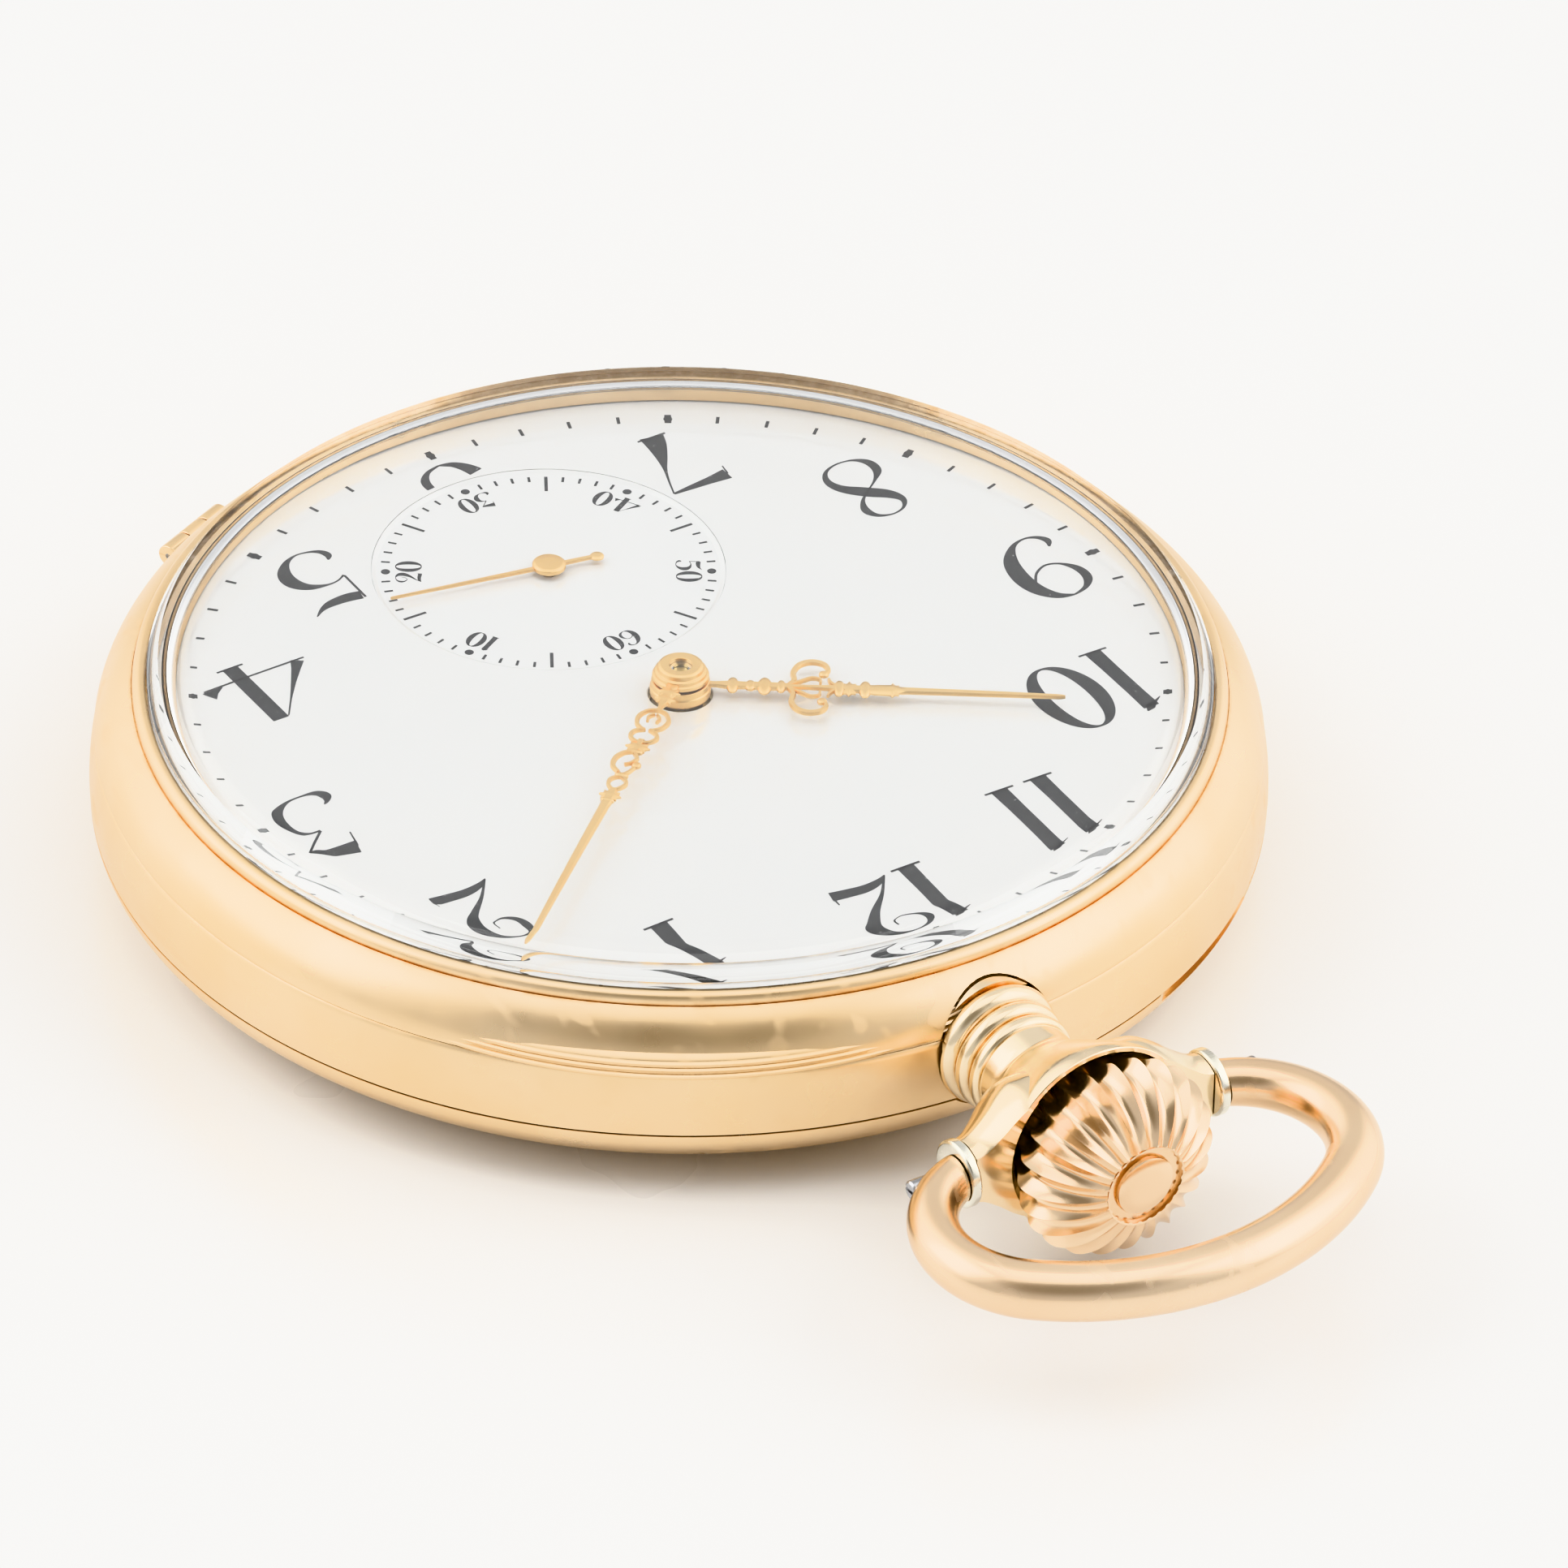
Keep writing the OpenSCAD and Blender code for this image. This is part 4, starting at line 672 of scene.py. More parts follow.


# Each gold_material darkens concave corners towards its line tone, which is painted shade; line also tints the
# seam tarnish.
GOLD, GOLD_DEEP = (0.92, 0.70, 0.45), (0.84, 0.60, 0.33)
ROSE, ROSE_DEEP = (0.90, 0.695, 0.485), (0.80, 0.575, 0.37)
mats = {
    "case": gold_material("gold_case", GOLD, GOLD_DEEP,
                          tarnish=[("h", BACK_SEAM, 0.06), ("h", BEZEL_SEAM, 0.06)]),
    "bezel": gold_material("gold_bezel", GOLD, GOLD_DEEP,
                           tarnish=[("r", 23.16, 0.12), ("h", BEZEL_SEAM, 0.05)]),
    "back": gold_material("gold_back", GOLD, GOLD_DEEP, tarnish=[("h", BACK_SEAM, 0.06)]),
    "pendant": gold_material("gold_pendant", (0.93, 0.78, 0.56), (0.86, 0.67, 0.43), axis="y", rough=0.18),
    "bow": gold_material("gold_bow", ROSE, ROSE_DEEP, centre=(0, 32), rough=0.24),
    "crown": gold_material("gold_crown", ROSE, ROSE_DEEP, axis="y", rough=0.2),
    "hands": gold_material("gold_hands", (1.0, 0.70, 0.33), (0.96, 0.62, 0.26), rough=0.36,
                           line=(0.85, 0.5, 0.2)),
    "gilt": gilt_material("gilt_brass"),
    "nickel": striped_nickel("striped_nickel"),
    "steel": steel_material("polished_steel", (0.60, 0.61, 0.63), (0.42, 0.42, 0.43)),
    "blued": steel_material("blued_steel", (0.06, 0.10, 0.34), (0.03, 0.04, 0.16), rough=0.16),
    "collar": steel_material("white_metal", (0.76, 0.74, 0.66), (0.54, 0.51, 0.42), rough=0.22),
    "dark_steel": steel_material("screw_steel", (0.36, 0.36, 0.37), (0.20, 0.19, 0.19), rough=0.3),
    "copper": gold_material("copper_feet", (0.76, 0.42, 0.24), (0.55, 0.26, 0.12), rough=0.35,
                            line=(0.3, 0.14, 0.07)),
    "enamel": enamel_material("white_enamel", (0.87, 0.865, 0.855), (0.85, 0.845, 0.835)),
    "subdial": enamel_material("white_enamel_seconds", (0.885, 0.882, 0.875), (0.87, 0.867, 0.86)),
    "print": print_material("dial_print"),
    "glass": glass_material("crystal_glass"),
    "ruby": ruby_material("ruby_jewels"),
}


def dress(ob, key):
    ob.data.materials.clear()
    ob.data.materials.append(mats[key])
    return ob


def piece(ob, body, key, nodes=()):
    """Dresses a new piece, puts it on its CAD body and hides the CAD nodes it stands for."""
    dress(ob, key)
    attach(ob, body)
    if nodes:
        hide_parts(*nodes)
    return ob


# ---------- case ----------

KNUCKLE_R, KNUCKLE_PITCH, KNUCKLE_HALF = 0.5, 1.35, 0.65
hinge_frames = {BACK_SEAM: hinge_frame(BACK_SEAM), BEZEL_SEAM: hinge_frame(BEZEL_SEAM)}


def knuckle(z, row, radius=KNUCKLE_R, grow=0.0):
    """One barrel of a hinge: a short turned tube lying along the rim. grow makes room round it."""
    centre, half = row * KNUCKLE_PITCH, KNUCKLE_HALF + grow
    section = [(0, centre - half), (radius, centre - half), (radius, centre + half), (0, centre + half)]
    return turned(soften(section, 0.0 if grow else 0.07, 3), 40, hinge_frames[z])


def hinge_leaf(z, row, up):
    """The web that joins a hinge barrel to its ring, above the seam where up is 1 and below where it is -1."""
    centre, half = row * KNUCKLE_PITCH, KNUCKLE_HALF - 0.02
    out, side = polar(1, HINGE_DEG), polar(1, HINGE_DEG + 90)
    inner, outer = HINGE_R - 1.6, HINGE_R - 0.1
    verts = []
    for w in (centre - half, centre + half):
        for u, v in ((inner, 0.02), (outer, 0.02), (outer, 0.42), (inner, 0.75)):
            p = out * u + side * w
            verts.append((p[0], p[1], z + v * up))
    return verts, [(0, 1, 2, 3), (4, 5, 6, 7), (0, 1, 5, 4), (1, 2, 6, 5), (2, 3, 7, 6), (3, 0, 4, 7)]


def hinge_room(z, rows):
    """Gaps for the other ring's barrels."""
    return [knuckle(z, row, 0.62, 0.06) for row in rows]


def hinge_barrels(body, z, up, rows):
    """The barrels that one ring gives to a hinge. rows maps the end of each name to a place in the row."""
    for end, row in rows.items():
        tube = joined(f"{body}_hinge_barrel_{end}", [knuckle(z, row), hinge_leaf(z, row, up)])
        piece(tube, body, body)


# Case band
case_outline = (soften([(21.5, 2.47), (23.3, 2.47), (23.3, 3.22)], 0.05, chain=True)
                + [(24.88, 3.22)] + [tuple(p) for p in arc((24.93, 3.26), (24.70, 6.14), 9, 14)]
                + [(24.65, 6.19)]
                + soften([(23.3, 6.19), (23.3, 6.85), (22.4, 6.85), (22.4, 6.6), (21.5, 6.6)], 0.05,
                         chain=True))
case_middle = lathe("case_band", case_outline, 288)
carve(case_middle, [rod(1.15, 15, 30, along_stem)] + hinge_room(BACK_SEAM, (-1, 1))
      + hinge_room(BEZEL_SEAM, (-1, 1)))
piece(case_middle, "case", "case", ["case_middle"])
hinge_barrels("case", BACK_SEAM, 1, {"back": 0})
hinge_barrels("case", BEZEL_SEAM, -1, {"front": 0})

# Bezel: dome, groove and bead, turned in one outline
bead_valley = (23.15, 8.45)
bezel_outline = ([(23.38, 6.23), (24.66, 6.23), (24.71, 6.27)]
                 + [tuple(p) for p in arc((24.72, 6.33), bead_valley, 3.2, 26)]
                 + [(23.13, 8.40), (23.10, 8.40)]
                 + [tuple(p) for p in arc((23.09, 8.46), (22.56, 8.93), 0.40, 14)]
                 + [(22.55, 8.88), (22.55, 8.28), (22.08, 8.28), (21.98, 7.5), (21.98, 7.38), (23.38, 7.38)])
bezel = lathe("bezel_ring", bezel_outline, 320)
carve(bezel, [rod(2.8, 23, 30, along_stem)] + hinge_room(BEZEL_SEAM, (0,)))
piece(bezel, "bezel", "bezel", ["bezel"])
hinge_barrels("bezel", BEZEL_SEAM, 1, {"a": -1, "b": 1})

# Thumb lip: a ribbed crescent, rounder than the case, so that it dies into the dome at both ends
LIP_R, LIP_INNER, LIP_HALF_DEG = 19.75, 14.5, 72
# Its face, as distances outwards from the lip's radius, and heights
LIP_FACE = [(-0.20, 6.24), (-0.05, 6.27), (0.0, 6.33), (-0.01, 6.42), (-0.10, 6.47), (-0.14, 6.47),
            (-0.15, 6.53), (-0.13, 6.62), (-0.22, 6.68), (-0.27, 6.68), (-0.28, 6.74), (-0.27, 6.82),
            (-0.36, 6.88), (-0.42, 6.89), (-0.52, 6.99), (-0.80, 7.10)]
lip_outline = [(LIP_INNER, 6.24)] + [(LIP_R + out, z) for out, z in LIP_FACE] + [(LIP_INNER, 8.0)]
lip_shell = turned(lip_outline, 160, start=-LIP_HALF_DEG, sweep=2 * LIP_HALF_DEG)
lip = new_mesh("bezel_thumb_lip", *lip_shell, sharp=30)
lip.data.transform(Matrix.Rotation(math.radians(clock(LIP_CLOCK)), 4, "Z")
                   @ Matrix.Translation(((CASE_R + 0.2 - LIP_R) * MM, 0, 0)))
carve(lip, [rod(23.8, 5, 9, steps=160)], sharp=30)
piece(lip, "bezel", "bezel")

# Back cover: a shallow bowl with a nail notch
back_outline = [(0, 0.0)]
for i in range(49):
    a = math.radians(90 - 90 * i / 48)
    r = 14 + (24.93 - 14) * math.sqrt(max(math.cos(a), 0))
    z = 3.17 * (1 - math.sin(a) ** 1.2)
    back_outline.append((r, z))
back_outline += [(24.88, 3.18), (23.38, 3.18), (23.38, 1.9), (22.4, 1.25), (21.4, 0.95), (20, 0.72),
                 (14, 0.45), (0, 0.45)]
back = lathe("back_bowl", back_outline, 288)
notch_at = polar(57.4, clock(NOTCH_CLOCK))
carve(back, [shifted(rod(33.2, 2.7, 4.0, steps=160), *notch_at), rod(2.85, 22, 30, along_stem)]
      + hinge_room(BACK_SEAM, (0,)))
piece(back, "back", "back", ["back_cover"])
hinge_barrels("back", BACK_SEAM, -1, {"a": -1, "b": 1})

for node, z in (("bezel_hinge_pin", BEZEL_SEAM), ("back_hinge_pin", BACK_SEAM)):
    outline = soften([(0, -2.0), (0.2, -2.0), (0.2, 2.0), (0, 2.0)], 0.06, 3)
    pin = lathe(node + "_turned", outline, 32, hinge_frames[z])
    piece(pin, "case", "dark_steel", [node])

# Crystal: a nearly flat dome with a bevelled edge, thinned underneath towards its seat
UNDER = GLASS_TOP - 0.95
SHOULDER = (22.0, GLASS_TOP - 0.38)
THIN_R, SEAT_R, SEAT_Z = 20.2, 21.8, 8.31
THIN_Z = UNDER - 0.15
inside = [(THIN_R * t, UNDER - 0.15 * t * t) for t in np.linspace(0, 1, 24)]
inside += [(THIN_R + (SEAT_R - THIN_R) * math.sin(a), THIN_Z - (THIN_Z - SEAT_Z) * (1 - math.cos(a)))
           for a in np.linspace(0, math.pi / 2, 25)[1:]]
outside = [(SHOULDER[0] * t, GLASS_TOP - 0.38 * t ** 5) for t in np.linspace(1, 0, 40)]
crystal_outline = inside + [(22.48, SEAT_Z), (22.48, 9.18)] + outside
crystal = lathe("crystal_dome", crystal_outline, 384, sharp=24)
piece(crystal, "bezel", "glass", ["crystal"])


# ---------- pendant, bow and crown ----------

def bulge(y, half, base, height):
    """A rounded ring on the pendant's neck: rows of radius and distance along the stem."""
    return [(base + height * math.cos(math.radians(a)), y + half * math.sin(math.radians(a)))
            for a in np.linspace(-90, 90, 11)]


def slab(y0, y1):
    """A block across the whole pendant, from y0 to y1."""
    return boxed((-8, y0, -4), (8, y1, 14))


EAR_END = 5.72
STEM_BORE = 1.25
pendant_side = [(2.2, 27.6), (2.22, 28.1), (2.55, 28.7), (3.1, 29.6), (3.72, 30.7), (4.13, 31.55),
                (4.27, 32.14)]
cup_side = [(2.2, 29.9), (3.2, 30.3), (3.85, 31.2), (4.02, 32.12)]
pendant_outline = ([(STEM_BORE, 22.9), (2.72, 22.9), (2.72, 24.3)] + bulge(24.82, 0.54, 2.22, 0.54)
                   + bulge(25.78, 0.43, 2.2, 0.34) + bulge(26.62, 0.33, 2.2, 0.21)
                   + [tuple(p) for p in spline(pendant_side, 5)]
                   + [(4.24, 32.19), (4.08, 32.19)] + cup_side[::-1] + [(STEM_BORE, 29.9)])
pendant = lathe("pendant_neck", pendant_outline, 160, along_stem)
ear_rows = [(1.34, EAR_END), (1.5, 5.2), (1.95, 4.5), (2.5, 3.8), (2.9, 3.1), (3.0, 2.4), (3.0, 1.8)]
ear_side = [tuple(p) for p in spline(ear_rows, 10)]
ear_outline = [(0, EAR_END)] + ear_side + [(r, -w) for r, w in reversed(ear_side)] + [(0, -EAR_END)]
cup = [(0, 29.9)] + cup_side + [(4.02, 45), (0, 45)]
clear = [(0, -2), (25.0, -2), (25.0, 5.9), (24.8, 6.2)]
clear += [(p[0] + 0.03, p[1] + 0.03) for p in arc((24.72, 6.33), bead_valley, 3.2, 20)] + [(0, 8.5)]
carve(pendant, [turned(clear, 240)])
ears = lathe("pendant_ears", ear_outline, 160, along_pivot)
carve(ears, [turned(cup, 160, along_stem), slab(15, 28.2), slab(32.2, 50), rod(STEM_BORE, 20, 40, along_stem)])
piece(pendant, "case", "pendant", ["pendant"])
piece(ears, "case", "pendant")

for side in (-1, 1):
    name = "left" if side < 0 else "right"
    outline = soften([(0.46, side * 5.76), (1.34, side * 5.76), (1.45, side * 5.84), (1.45, side * 6.18),
                      (1.34, side * 6.26), (0.46, side * 6.26)], 0.05, 3)
    collar = lathe("bow_collar_" + name, outline, 72, along_pivot)
    piece(collar, "case", "collar", ["bow_collars"] if side > 0 else ())
    outline = soften([(0, side * 4.6), (0.42, side * 4.6), (0.42, side * 8.3), (0.34, side * 8.38),
                      (0, side * 8.38)], 0.03, 3)
    screw = lathe("bow_screw_" + name, outline, 48, along_pivot)
    slot_x = sorted((side * 8.2, side * 9))
    carve(screw, [boxed((slot_x[0], PIVOT_Y - 1, STEM_Z - 0.08), (slot_x[1], PIVOT_Y + 1, STEM_Z + 0.08))])
    piece(screw, "case", "dark_steel", ["bow_screws"] if side > 0 else ())

# Bow: a wire that swells towards the middle, on the arcs the CAD part uses
SIDE_X, SIDE_R = 4.84, 4.46
BOW_END_X = 6.33
side_c = np.array([SIDE_X, PIVOT_Y + SIDE_R])
top_mid_y = span("bow")[1][1] - 1.26


def bow_centreline():
    """Centreline from the right end, over the top, to the left end."""
    rise = top_mid_y - side_c[1]
    top_r = (SIDE_X ** 2 + rise ** 2 - SIDE_R ** 2) / (2 * (rise - SIDE_R))
    top_c = np.array([0.0, top_mid_y - top_r])
    meet = math.atan2(side_c[1] - top_c[1], side_c[0] - top_c[0])

    def on_circle(centre, radius, start, end):
        return [centre + radius * np.array([math.cos(t), math.sin(t)]) for t in np.linspace(start, end, 40)]

    right = on_circle(side_c, SIDE_R, -math.pi / 2, meet)
    over = on_circle(top_c, top_r, meet, math.pi - meet)[1:-1]
    left = [np.array([-p[0], p[1]]) for p in reversed(right)]
    return np.array(right + over + left)


line = bow_centreline()
tangent = np.gradient(line, axis=0)
tangent /= np.linalg.norm(tangent, axis=1, keepdims=True)
run = np.concatenate([[0], np.cumsum(np.linalg.norm(np.diff(line, axis=0), axis=1))])
run /= run[-1]
verts, faces = [], []
wire_steps = 48
for p, t, s in zip(line, tangent, run):
    middle = math.sin(math.pi * s)
    r = 0.97 + 0.25 * float(smooth(middle * 1.1))
    side = np.array([-t[1], t[0]])
    for k in range(wire_steps):
        a = 2 * math.pi * k / wire_steps
        q = p + side * r * math.cos(a)
        verts.append((q[0], q[1], STEM_Z + r * math.sin(a)))
for i in range(len(line) - 1):
    for k in range(wire_steps):
        m = (k + 1) % wire_steps
        faces.append((i * wire_steps + k, (i + 1) * wire_steps + k, (i + 1) * wire_steps + m,
                      i * wire_steps + m))
faces += [list(range(wire_steps)), list(range((len(line) - 1) * wire_steps, len(line) * wire_steps))]
bow = new_mesh("bow_wire", verts, faces, sharp=50)
carve(bow, [rod(0.47, -12, 12, along_pivot),
            boxed((-BOW_END_X, PIVOT_Y - 3, STEM_Z - 3), (BOW_END_X, PIVOT_Y + 2.6, STEM_Z + 3))])
piece(bow, "bow", "bow", ["bow"])

# Crown: concave flutes with sharp ridges, a recessed end and a satin button
FLUTES, PER_FLUTE = 24, 14
CROWN_FOOT, CROWN_TIP = 30.6, 35.93
around = FLUTES * PER_FLUTE
crown_side = spline([(2.0, CROWN_FOOT), (3.05, 30.85), (3.62, 31.7), (3.95, 32.5), (4.36, 33.15), (4.42, 33.7),
                     (4.28, 34.25), (3.95, 34.75), (3.4, 35.28), (2.7, 35.68), (1.95, CROWN_TIP)], 7)


def flute_depth(r, y):
    """Depth of a flute at radius r and y along the stem. It fades out at both ends of the crown."""
    t = (y - CROWN_FOOT) / (CROWN_TIP - CROWN_FOOT)
    return 0.125 * r * float(smooth((t - 0.05) / 0.25)) * float(smooth((1.06 - t) / 0.08)) + 0.03


crown_rows = [(r, y, flute_depth(r, y)) for r, y in crown_side]
crown_rows += [(r, y, 0.0) for r, y in ((1.84, 35.95), (1.78, 35.93), (1.74, 35.72), (0.0, 35.70))]
crown_rows.append((0.0, CROWN_FOOT, 0.0))
verts = []
for r, y, depth in crown_rows:
    for k in range(around):
        u = (k % PER_FLUTE) / PER_FLUTE
        cut = depth * (1 - (2 * u - 1) ** 2)
        a = 2 * math.pi * k / around
        verts.append(along_stem((r - cut) * math.cos(a), (r - cut) * math.sin(a), y))
foot = len(crown_rows) - 1
faces = bands(foot, around)
for k in range(around):
    m = (k + 1) % around
    faces.append((m, k, foot * around + k, foot * around + m))
crown = new_mesh("crown_fluted", verts, faces, sharp=24)
piece(crown, "crown", "crown", ["crown"])
button_outline = [(0, 35.70), (1.30, 35.70), (1.35, 35.82), (1.31, 35.93), (1.2, 35.99), (0.7, 36.02),
                  (0, 36.03)]
button = lathe("crown_button_domed", button_outline, 96, along_stem, sharp=40)
piece(button, "crown", "crown", ["crown_button"])


# ---------- dial ----------

SUNK = 0.15
dial_outline = soften([(1.36, 6.7), (22.28, 6.7), (22.28, DIAL_TOP), (1.36, DIAL_TOP)], [0, 0.04, 0.12, 0.1], 4)
dial = lathe("dial_enamel", dial_outline, 256)
carve(dial, [shifted(rod(SUBDIAL_R, DIAL_TOP - SUNK - 0.01, DIAL_TOP + 1, steps=160), *SECONDS),
             shifted(rod(0.42, 6, 8, steps=48), *SECONDS)])
piece(dial, "case", "enamel", ["dial"])
sub_edge, sub_lip = SUBDIAL_R - 0.02, DIAL_TOP - 0.03
sub_outline = [(0.42, 6.72), (sub_edge, 6.72), (sub_edge, sub_lip)]
sub_outline += [(sub_edge - 0.26 * t, sub_lip - (SUNK - 0.03) * float(smooth(t)))
                for t in np.linspace(0.12, 1, 10)]
sub_outline += [(0.42, DIAL_TOP - SUNK)]
subdial = lathe("seconds_dial_enamel", sub_outline, 192)
subdial.data.transform(Matrix.Translation((SECONDS[0] * MM, SECONDS[1] * MM, 0)))
piece(subdial, "case", "subdial")

INK = DIAL_TOP + 0.008
INK_SUB = DIAL_TOP - SUNK + 0.008
# Each hour: centre of the numeral and its height, on the dial
HOURS = {"12": (0.1, 17.6, 4.85), "1": (9.25, 15.75, 4.85), "2": (15.15, 9.4, 4.75), "3": (17.85, 0.55, 4.7),
         "4": (14.7, -9.05, 4.4), "5": (9.0, -14.85, 4.5), "7": (-9.0, -14.85, 4.5), "8": (-15.0, -9.0, 4.6),
         "9": (-18.2, 0.0, 4.75), "10": (-14.8, 8.6, 4.75), "11": (-8.7, 15.1, 4.85)}
shells = []
for text, (x, y, height) in HOURS.items():
    shells += number_shells(text, (x, y), height, 0, INK, gap=0.13 if text == "11" else 0.075)


def clear_of_seconds(point):
    return math.hypot(point[0] - SECONDS[0], point[1] - SECONDS[1]) > SUBDIAL_R + 0.12 and point[1] < -18.3


shells += number_shells("6", (0.0, -17.6), 4.6, 0, INK, keep=clear_of_seconds)
TRACK_R = 20.65
for minute in range(60):
    a = clock(6 * minute)
    if minute % 5:
        shells.append(mark(TRACK_R, a, 0.5, 0.15, INK))
    else:
        shells.append(mark(TRACK_R, a, 0.62, 0.3, INK))
        shells.append(spot(polar(TRACK_R, a), 0.2, INK + 0.001))
numerals = joined("dial_numerals", shells)
piece(numerals, "case", "print")
shells = []
for second in range(60):
    a = clock(6 * second)
    long = second % 5 == 0 and second % 10
    if second % 10 == 0:
        shells.append(spot(np.array(SECONDS) + polar(6.98, a), 0.2, INK_SUB))
    else:
        length = 1.1 if long else 0.38
        shells.append(mark(7.2 - length / 2, a, length, 0.15 if long else 0.12, INK_SUB, SECONDS))
for second in (10, 20, 30, 40, 50, 60):
    a = clock(6 * second)
    at = np.array(SECONDS) + polar(6.0, a)
    turn = -6.0 * (second % 60)
    if second in (30, 40):
        turn += 180.0
    shells += number_shells(str(second), tuple(at), 1.12, turn, INK_SUB, gap=0.1, weight=1.35)
seconds_print = joined("seconds_dial_figures", shells)
piece(seconds_print, "case", "print")


# ---------- hands ----------

def hand_place(clock_deg, z, centre=(0.0, 0.0)):
    """Places a point of a hand, given with the hand's tip along +Y, on the dial."""
    c, s = math.cos(math.radians(-clock_deg)), math.sin(math.radians(-clock_deg))

    def place(p, h):
        return (centre[0] + p[0] * c - p[1] * s, centre[1] + p[0] * s + p[1] * c, z + h)
    return place


def bead(y, half_w, half_h, place, thick, lift):
    """A turned bead on a hand: an oval button with rounded edges."""
    verts, steps = [], 28
    levels = [(1.0, 0.0), (1.0, 0.5), (0.86, 0.86), (0.55, 1.05), (0.0, 1.12)]
    for scale, h in levels:
        for k in range(steps):
            a = 2 * math.pi * k / steps
            at = (half_w * scale * math.cos(a), y + half_h * scale * math.sin(a))
            verts.append(place(at, thick * h + lift))
    return verts, bands(len(levels), steps) + [list(range(steps))]


def star(y, reach, place, thick, lift):
    """A spiky bead: a button with eight short points round it."""
    verts, points = [], 8
    steps = points * 4
    levels = [(1.0, 0.0), (1.0, 0.55), (0.5, 1.0), (0.0, 1.1)]
    for scale, h in levels:
        for k in range(steps):
            a = 2 * math.pi * k / steps
            r = reach * (0.72 + 0.28 * abs(math.cos(a * points / 2)) ** 3) * scale
            verts.append(place((r * math.cos(a), y + 0.8 * r * math.sin(a)), thick * h + lift))
    return verts, bands(len(levels), steps) + [list(range(steps))]


def hand_shells(strokes, place, thick):
    """Strokes of a pierced hand, each a hair higher than the last so that no two faces share a plane."""
    shells = []
    for i, (kind, rows) in enumerate(strokes):
        lift = 0.0015 * (i % 7)

        def at(p, h, lift=lift):
            return place(p, h + lift if h > 0 else h + 0.0004 * (lift / 0.0015))
        if kind in ("curve", "loop"):
            rows = [(x, y, w * 0.76) for x, y, w in rows]
        if kind in HAND_STROKES:
            shells.append(plate_strip(ribbon(rows, *HAND_STROKES[kind]), at, thick))
        elif kind == "bead":
            y, w, h = rows
            shells.append(bead(y, w, h, place, thick, lift))
        elif kind == "star":
            y, reach = rows
            shells.append(star(y, reach, place, thick, lift))
        elif kind == "ball":
            x, y, r = rows
            shells.append(bead(y, r, r, lambda p, h, x=x: place((p[0] + x, p[1]), h), thick, lift))
    return shells


def mirrored(strokes):
    out = []
    for kind, rows in strokes:
        out.append((kind, rows))
        if kind in ("curve", "loop"):
            out.append((kind, [(-x, y, w) for x, y, w in rows]))
        elif kind == "ball":
            out.append((kind, (-rows[0], rows[1], rows[2])))
    return out


def hub_rings(name, body, z, rings, radius, centre=(0, 0)):
    """A hub built of stepped rings: rows of radius and height above z, with rounded corners."""
    hub = lathe(name, soften([(r, z + h) for r, h in rings], radius), 96)
    hub.data.transform(Matrix.Translation((centre[0] * MM, centre[1] * MM, 0)))
    piece(hub, body, "hands")


HOUR_CLOCK = 300 + MINUTES_PAST_TEN / 2
MINUTE_CLOCK = 6 * MINUTES_PAST_TEN
SECOND_CLOCK = 6 * SECONDS_SHOWN
hour_z, minute_z = span("hour_hand")[0][2], span("minute_hand")[0][2]
second_z = span("seconds_hand")[0][2]

hour_strokes = mirrored([
    ("bar", [(0, 0.9, 0.5), (0, 1.25, 0.34), (0, 1.5, 0.3), (0, 2.0, 0.5), (0, 2.9, 0.44), (0, 3.2, 0.5),
             (0, 4.3, 0.5), (0, 4.7, 0.28), (0, 5.2, 0.2), (0, 6.0, 0.24), (0, 6.7, 0.42), (0, 8.4, 0.5)]),
    ("bead", (2.2, 0.54, 0.26)),
    ("bead", (2.95, 0.35, 0.24)),
    ("bead", (3.55, 0.6, 0.3)),
    ("bead", (4.25, 0.42, 0.2)),
    ("curve", [(0.1, 4.55, 0.22), (0.5, 4.78, 0.3), (1.05, 4.72, 0.32), (1.6, 4.95, 0.36), (1.86, 5.45, 0.38),
               (1.72, 5.98, 0.34), (1.3, 6.2, 0.26), (0.94, 6.0, 0.2)]),
    ("ball", (1.0, 6.02, 0.21)),
    ("curve", [(0.12, 4.62, 0.2), (0.42, 5.1, 0.22), (0.66, 5.5, 0.2), (0.58, 5.86, 0.18), (0.3, 5.9, 0.14)]),
    ("curve", [(0.1, 6.6, 0.22), (0.36, 6.34, 0.2), (0.62, 6.24, 0.14)]),
    ("bead", (6.7, 0.55, 0.24)),
    ("star", (7.12, 0.52)),
    ("bead", (7.8, 0.58, 0.26)),
    ("bar", [(0, 8.0, 0.6), (0, 8.35, 0.68), (0, 8.9, 0.72), (0, 9.25, 0.44), (0, 9.6, 0.38), (0, 13.0, 0.30),
             (0, HOUR_TIP - 0.25, 0.2), (0, HOUR_TIP, 0.06)]),
    ("star", (8.95, 0.5)),
])
hour = joined("hour_hand_pierced", hand_shells(hour_strokes, hand_place(HOUR_CLOCK, hour_z), 0.15), sharp=40)
piece(hour, "hour", "hands", ["hour_hand"])
hub_rings("hour_hand_hub", "hour", hour_z, [(1.0, -0.4), (1.3, -0.4), (1.3, -0.06), (1.24, 0), (1.24, 0.27),
                                            (1.0, 0.3)], 0.03)

